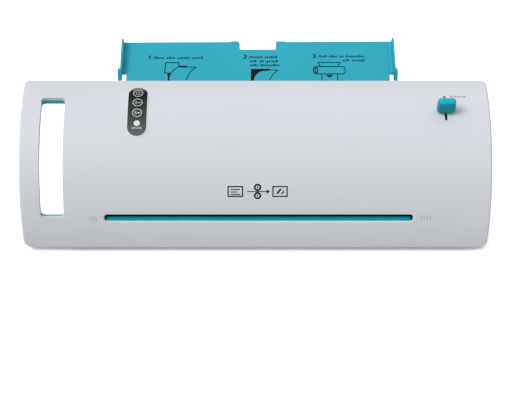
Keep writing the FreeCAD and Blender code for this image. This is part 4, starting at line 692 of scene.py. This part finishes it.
def build_knob():
    """Soft rounded paddle with a shallow finger dish in its front face."""
    lo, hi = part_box("release_knob")
    pivot = JOINTS["lever_turn"]["pos_m"]
    base = Vector(((lo.x + hi.x) / 2, pivot[1], pivot[2])) + LEVER_UP * KNOB_ABOVE_PIVOT
    bm = bmesh.new()
    rings = []
    for height in KNOB_HEIGHTS:
        half_u, half_v, middle, radius = knob_section(height)
        ring = []
        for u, v in rounded_rect(half_u, half_v, radius):
            dish = 0.0
            if v < 0:
                dish = (0.3 * max(0.0, 1 - (u / 6.0) ** 2)
                        * max(0.0, 1 - ((height - 6.2) / 5.0) ** 2))
            ring.append(bm.verts.new(base + Vector((u * MM, 0, 0))
                                     + LEVER_BACK * ((v + middle + dish) * MM)
                                     + LEVER_UP * (height * MM)))
        rings.append(ring)
    for lower, upper in zip(rings, rings[1:]):
        bridge(bm, lower, upper)
    for ring in (rings[0], rings[-1]):
        centre = bm.verts.new(sum((vert.co for vert in ring), Vector()) / len(ring))
        for i, vert in enumerate(ring):
            bm.faces.new((vert, ring[(i + 1) % len(ring)], centre))
    bmesh.ops.remove_doubles(bm, verts=bm.verts, dist=1e-6)
    knob = make_object("release_knob_paddle", bm, MATERIALS["knob_teal"], "lever", angle=60.0)
    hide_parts("release_knob")


# ------------------------------------------------------------------ tray fillets
FILLET_R = 2.2                       # mm
FILLET_SINK = 0.3                    # how far the fillet reaches into wall and sheet, mm
# side, outer x of the tray, direction inwards, wall thickness, lean of the wall, far end (mm)
FILLETS = (
    ("left", tray_lo.x, 1, 3.8, 0.6, 80.8),
    ("right", tray_hi.x, -1, 3.5, 0.8, 82.1),
)


def build_tray_fillets():
    """Fillets between sheet and side walls, which lean in a little towards the far end."""
    profile = [(0.0, FILLET_R)]
    profile += ellipse(FILLET_R, FILLET_R, FILLET_R, FILLET_R,
                       [180 + 90.0 * k / 10 for k in range(1, 11)])
    profile += [(FILLET_R, -FILLET_SINK), (-FILLET_SINK, -FILLET_SINK), (-FILLET_SINK, FILLET_R)]
    for side, outer_x, inwards, thickness, lean, far_end in FILLETS:
        bm = bmesh.new()
        rows = []
        for along in (48.7, 50.5, 56.0, 62.0, 68.0, 74.0, far_end):
            wall = outer_x / MM + inwards * (thickness + lean * (along - 43.0) / 38.4)
            rows.append([bm.verts.new(tray_place(wall + inwards * across, along, height))
                         for across, height in profile])
        for near, far in zip(rows, rows[1:]):
            bridge(bm, near, far)
        bm.faces.new(rows[0])
        bm.faces.new(list(reversed(rows[-1])))
        make_object("tray_fillet_" + side, bm, MATERIALS["teal"], "tray", angle=40.0)


# ------------------------------------------------------------------ tray print
TRAY_LINE = 0.8                      # width of the pictogram lines, mm


def print_tray():
    """Steps 1 to 3 with block lettering and simple pictograms."""
    outline = Print(tray_place, low=-0.12, high=0.07, step=3.0)
    solid = Print(tray_place, low=-0.12, high=0.075, step=3.0)
    text = Print(tray_place, low=-0.12, high=0.065, step=3.0)

    def heading(number, u, v, dot_u, rows):
        """Numeral, dot and lettering; rows are (u, v, pitch, pattern)."""
        outline.numeral(number, u, v, height=3.8, width=0.95)
        outline.disc(dot_u, v + 0.5, 0.45, 12)
        for row_u, row_v, pitch, pattern in rows:
            text.blocks(row_u, row_v, pattern, pitch, tall=2.5)

    # step 1: a page going into an open pouch
    heading(1, -96.4, 63.0, -93.1, [(-91.3, 63.7, 1.93, "hhxxx xhxx xxxxhx pxxxh")])
    outline.line([(-68.9, 56.2), (-68.9, 59.7), (-80.7, 59.7), (-81.3, 48.8), (-77.7, 48.8)],
                 TRAY_LINE)
    solid.poly([(-68.9, 56.6), (-61.3, 56.6), (-61.3, 54.8), (-68.9, 54.8)])
    solid.poly([(-78.8, 49.2), (-76.0, 49.2), (-76.7, 45.6), (-77.0, 37.6), (-78.3, 37.6),
                (-78.3, 44.6)])
    outline.line([(-53.4, 55.0), (-62.0, 55.2), (-68.9, 55.1), (-73.3, 52.0), (-76.1, 48.4),
                  (-77.3, 44.6), (-77.7, 37.8)], TRAY_LINE)
    outline.line([(-53.4, 55.0), (-57.4, 51.2), (-60.1, 46.8), (-61.4, 42.4), (-61.9, 37.8)],
                 TRAY_LINE)

    # step 2: the sealed end leading
    heading(2, -10.2, 64.1, -6.2, [(-4.9, 64.5, 1.90, "hxxxxh xxxhxh"),
                                   (-4.9, 60.2, 2.12, "xxh xh pxxxh"),
                                   (-4.8, 56.0, 1.92, "xxhx hxxxxxhxx")])
    solid.poly([(-4.0, 53.2), (12.7, 53.2), (12.7, 51.3), (8.0, 51.2), (4.6, 50.4), (1.6, 48.2),
                (-0.7, 44.8), (-1.9, 40.6), (-2.0, 37.6), (-4.0, 37.6)])
    outline.line([(12.5, 52.2), (20.0, 51.9), (16.6, 48.6), (14.3, 45.0), (12.8, 41.0),
                  (12.2, 37.8)], TRAY_LINE)

    # step 3: through the rollers, the finished sheet leaving in the arrow's direction
    heading(3, 52.0, 64.7, 55.7, [(57.3, 65.4, 1.86, "hxxh xhxx xx hxxxxxhxx"),
                                  (78.6, 61.2, 2.02, "xxh xxxxph")])
    outline.line([(56.3, 60.0), (76.1, 60.0), (73.8, 55.7), (58.2, 55.7)], TRAY_LINE, closed=True)
    outline.line([(54.0, 55.6), (78.8, 55.6), (80.0, 54.6), (80.5, 51.7), (79.9, 48.9),
                  (78.6, 48.0), (54.0, 48.0), (52.4, 49.2), (51.7, 51.8), (52.5, 54.6)],
                 TRAY_LINE, closed=True)
    outline.ring(54.6, 51.8, 0.9, 1.7, 20, stretch=1.9)
    outline.line([(59.4, 48.2), (59.6, 37.8)], TRAY_LINE)
    outline.line([(73.7, 48.2), (73.4, 37.8)], TRAY_LINE)
    solid.poly([(62.8, 47.0), (69.8, 47.0), (66.3, 43.9)])

    outline.done("tray_print", INK_TRAY, "tray")
    solid.done("tray_print_solid", INK_BLACK, "tray")
    text.done("tray_print_lines", INK_TEXT, "tray")


# ------------------------------------------------------------------ cover prints
def print_front_mark():
    """Sheet, pair of rollers and finished sheet, from left to right."""
    mark = Print(cover_place(0.0018, 36.6), low=-0.06, high=0.07, step=1.6)
    half_sheet, frame_line = 4.2, 1.05
    mark.frame(-24.5, -12.5, -half_sheet, half_sheet, frame_line)
    for row, width in enumerate((7.6, 5.4, 7.6)):
        v = 1.7 - row * 2.1
        mark.bar(-22.3, -22.3 + width, v - 0.42, v + 0.42)
    for v in (3.55, -3.55):
        mark.ring(0.0, v, 1.55, 3.1, 36)
        mark.disc(0.0, v, 0.7, 16)
    mark.bar(-8.6, 8.6, -0.36, 0.36)
    mark.poly([(7.6, -1.9), (10.6, 0.0), (7.6, 1.9)])
    mark.frame(12.8, 24.6, -half_sheet, half_sheet, frame_line)
    mark.poly([(15.2, -2.0), (18.4, 2.3), (20.4, 2.3), (17.2, -2.0)])
    mark.poly([(19.4, -2.0), (22.0, 1.5), (22.0, -0.6), (20.9, -2.0)])
    mark.done("front_mark", INK_DARK, "housing")


def print_heat_marks():
    """Wavy upright strokes on either side of the exit slot."""
    pitch, sway, half_tall, pieces = 2.5, 0.42, 2.1, 12
    for side, x, theta, strokes in (("left", -0.1361, 20.4, 3), ("right", 0.1426, 21.1, 4)):
        mark = Print(cover_place(x, theta), step=1.0)
        for i in range(strokes):
            middle = (i - (strokes - 1) / 2) * pitch
            mark.line([(middle + sway * math.sin(2 * math.pi * k / pieces),
                        -half_tall + 2 * half_tall * k / pieces) for k in range(pieces + 1)], 0.5)
        mark.done("heat_mark_" + side, INK_GREY, "housing")


def print_lever_mark():
    mark = Print(cover_place(0.1642, 92.4), step=1.0)
    mark.blocks(0.0, -0.9, "hxhxxxh", pitch=1.95, tall=2.0)
    mark.done("lever_mark", INK_GREY, "housing")


# ------------------------------------------------------------------ control strip print
# CAD piece, body it rides on, angle on the cover
KEYS = (
    ("power_button", "power_key", 94.3),
    ("thin_pouch_button", "thin_key", 87.5),
    ("thick_pouch_button", "thick_key", 80.6),
)
KEY_LINE = 0.5


def print_keys():
    """A ring and a mark on each key."""
    for node, body, theta in KEYS:
        mark = Print(key_place(theta), low=-0.06, high=0.05)
        mark.ring(0, 0, 3.55, 4.22, 44)
        if node == "power_button":
            mark.line(ellipse(0, 0, 1.75, 1.75, [125 + 290 * i / 24 for i in range(25)]),
                      KEY_LINE)
            mark.line([(0, 0.5), (0, 2.5)], KEY_LINE)
        elif node == "thin_pouch_button":
            mark.numeral(3, -2.0, -1.3, height=2.6, width=KEY_LINE)
            mark.bar(0.3, 2.6, -0.35, 0.35)
        else:
            mark.line([(-0.6, 1.25), (-1.9, 1.25), (-2.0, 0.15), (-1.3, 0.3), (-0.65, 0.05),
                       (-0.5, -0.5), (-0.8, -1.1), (-1.4, -1.3), (-2.1, -1.05)], KEY_LINE)
            mark.bar(0.3, 2.6, -0.6, 0.6)
        mark.done(node + "_print", INK_PALE, body)


def print_ready_mark():
    mark = Print(cover_place(PANEL_X, 71.6, COVER_R + 0.0002), low=-0.08, high=0.05, step=1.0)
    mark.blocks(-4.1, -0.6, "xhxxh", pitch=1.72, tall=1.7)
    mark.done("ready_mark", INK_PALE, "housing")


# ------------------------------------------------------------------ strain relief
RELIEF_BORE = 3.02                   # radius, mm
RIB_START, RIB_PITCH, RIB_COUNT = 7.7, 1.75, 5


def build_strain_relief():
    """Turned sleeve around the cable, with ribs that get lower towards the rear."""
    lo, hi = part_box("strain_relief")
    # y from the inner end, radius
    profile = [(0.0, RELIEF_BORE), (0.0, 5.4), (4.9, 5.4), (4.9, 7.1), (5.3, 7.4), (6.9, 7.4),
               (7.2, 7.1), (7.2, 4.7)]
    for i in range(RIB_COUNT):
        y = RIB_START + i * RIB_PITCH
        crest = 3.9 + 0.72 * (1.0 - 0.07 * (y - RIB_START))
        profile += [(y, 3.75), (y + 0.25, 3.55), (y + 0.65, 3.55), (y + 0.75, 3.75),
                    (y + 0.95, crest), (y + 1.55, crest)]
    profile += [(17.0, 4.0), (17.0, RELIEF_BORE)]
    bm = bmesh.new()
    columns = turned_columns(bm, ((lo.x + hi.x) / 2, lo.y, (lo.z + hi.z) / 2), profile, 40)
    for i, column in enumerate(columns):
        bridge(bm, column, columns[(i + 1) % len(columns)])
    relief = make_object("strain_relief_ribbed", bm, MATERIALS["black_plastic"], "housing",
                         angle=40.0)
    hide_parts("strain_relief")


# ------------------------------------------------------------------ rear panel screws
SCREW_HEAD_R = 3.0                   # mm
SCREW_TIP = -8.3                     # y from the seat of the head, mm
# y from the seat, radius: shank, then domed head
SCREW_PROFILE = ((SCREW_TIP, 1.1), (-7.6, 1.55), (0.0, 1.55), (0.0, SCREW_HEAD_R),
                 (0.55, SCREW_HEAD_R), (1.0, SCREW_HEAD_R * 0.95), (1.5, SCREW_HEAD_R * 0.78))


def add_screw(bm, x, seat_y, z):
    columns = turned_columns(bm, (x, seat_y, z), SCREW_PROFILE, 32)
    tip = bm.verts.new((x, seat_y + SCREW_TIP * MM, z))
    # cross recess: a star-shaped loop that drops into the head
    for i, column in enumerate(columns):
        angle = 2 * math.pi * i / len(columns)
        star = 0.55 + 1.25 * abs(math.cos(2 * angle)) ** 3
        for y, radius in ((1.92, star), (0.75, star * 0.6)):
            column.append(bm.verts.new((x + radius * MM * math.cos(angle), seat_y + y * MM,
                                        z + radius * MM * math.sin(angle))))
    centre = bm.verts.new((x, seat_y + 0.55 * MM, z))
    for i, column in enumerate(columns):
        following = columns[(i + 1) % len(columns)]
        bm.faces.new((tip, column[0], following[0]))
        bridge(bm, column, following, closed=False)
        bm.faces.new((column[-1], centre, following[-1]))


def build_panel_screws():
    """Four screws at the corners of the rear panel."""
    lo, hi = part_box("panel_screws")
    head_r = SCREW_HEAD_R * MM
    bm = bmesh.new()
    for x in (lo.x + head_r, hi.x - head_r):
        for z in (lo.z + head_r, hi.z - head_r):
            add_screw(bm, x, hi.y - 0.002, z)
    screws = make_object("panel_screws_cross", bm, MATERIALS["steel"], "housing", angle=28.0)
    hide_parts("panel_screws")


# ------------------------------------------------------------------ stage
def build_floor(side=12.0, cells=24):
    bm = bmesh.new()
    levels = [(i / cells - 0.5) * side for i in range(cells + 1)]
    rows = [[bm.verts.new((x, y, 0.0)) for y in levels] for x in levels]
    for i in range(cells):
        for j in range(cells):
            bm.faces.new((rows[i][j], rows[i + 1][j], rows[i + 1][j + 1], rows[i][j + 1]))
    link_mesh("floor", bm, floor_material())


def build_world():
    """Soft surroundings, brighter and cooler overhead."""
    world = bpy.data.worlds.new("studio")
    world.use_nodes = True
    tree = world.node_tree
    height = axis_of(tree, add(tree, "TexCoord").outputs["Generated"], "Z")
    sky = ramp(tree, height, [(0.0, (0.17, 0.168, 0.162, 1)), (0.3, grey(0.42)),
                              (1.0, (0.62, 0.66, 0.705, 1))])
    set_inputs(tree, tree.nodes["Background"], Color=sky, Strength=1.0)
    scene.world = world


def add_light(name, kind, place, power, colour):
    """Light aimed at the origin; returns its data."""
    light = bpy.data.lights.new(name, kind)
    light.energy, light.color = power, colour
    obj = bpy.data.objects.new(name, light)
    obj.location = place
    obj.rotation_euler = (-Vector(place)).to_track_quat("-Z", "Y").to_euler()
    scene.collection.objects.link(obj)
    return light


def build_lights():
    key = add_light("key_soft", "SUN", place=(-2.3, -0.45, 3.3), power=1.90,
                    colour=(0.985, 1.0, 1.02))
    key.angle = math.radians(34.0)
    fill = add_light("fill_rear", "AREA", place=(0.5, 1.4, 1.5), power=3.0,
                     colour=(0.97, 0.98, 1.0))
    fill.shape = "RECTANGLE"
    fill.size, fill.size_y = 1.6, 1.0


def build_camera():
    """Camera in front of and above the machine, looking down at it."""
    camera = bpy.data.cameras.new("camera")
    camera.sensor_width = 36.0
    camera.lens = 108.833977
    camera.shift_x = 0.00694981
    camera.clip_start, camera.clip_end = 0.05, 30.0
    obj = bpy.data.objects.new("camera", camera)
    obj.location = (0.0, AXIS_Y - 0.89248, 1.06962)
    look_down = 51.518               # degrees below the horizontal
    obj.rotation_euler = (math.radians(90.0 - look_down), 0, 0)
    scene.collection.objects.link(obj)
    scene.camera = obj


dress_cad_pieces()
build_knob()
build_tray_fillets()
print_tray()
print_front_mark()
print_heat_marks()
print_lever_mark()
print_keys()
print_ready_mark()
build_strain_relief()
build_panel_screws()
build_floor()
build_world()
build_lights()
build_camera()
scene.view_settings.view_transform = "Standard"
scene.view_settings.look = "None"
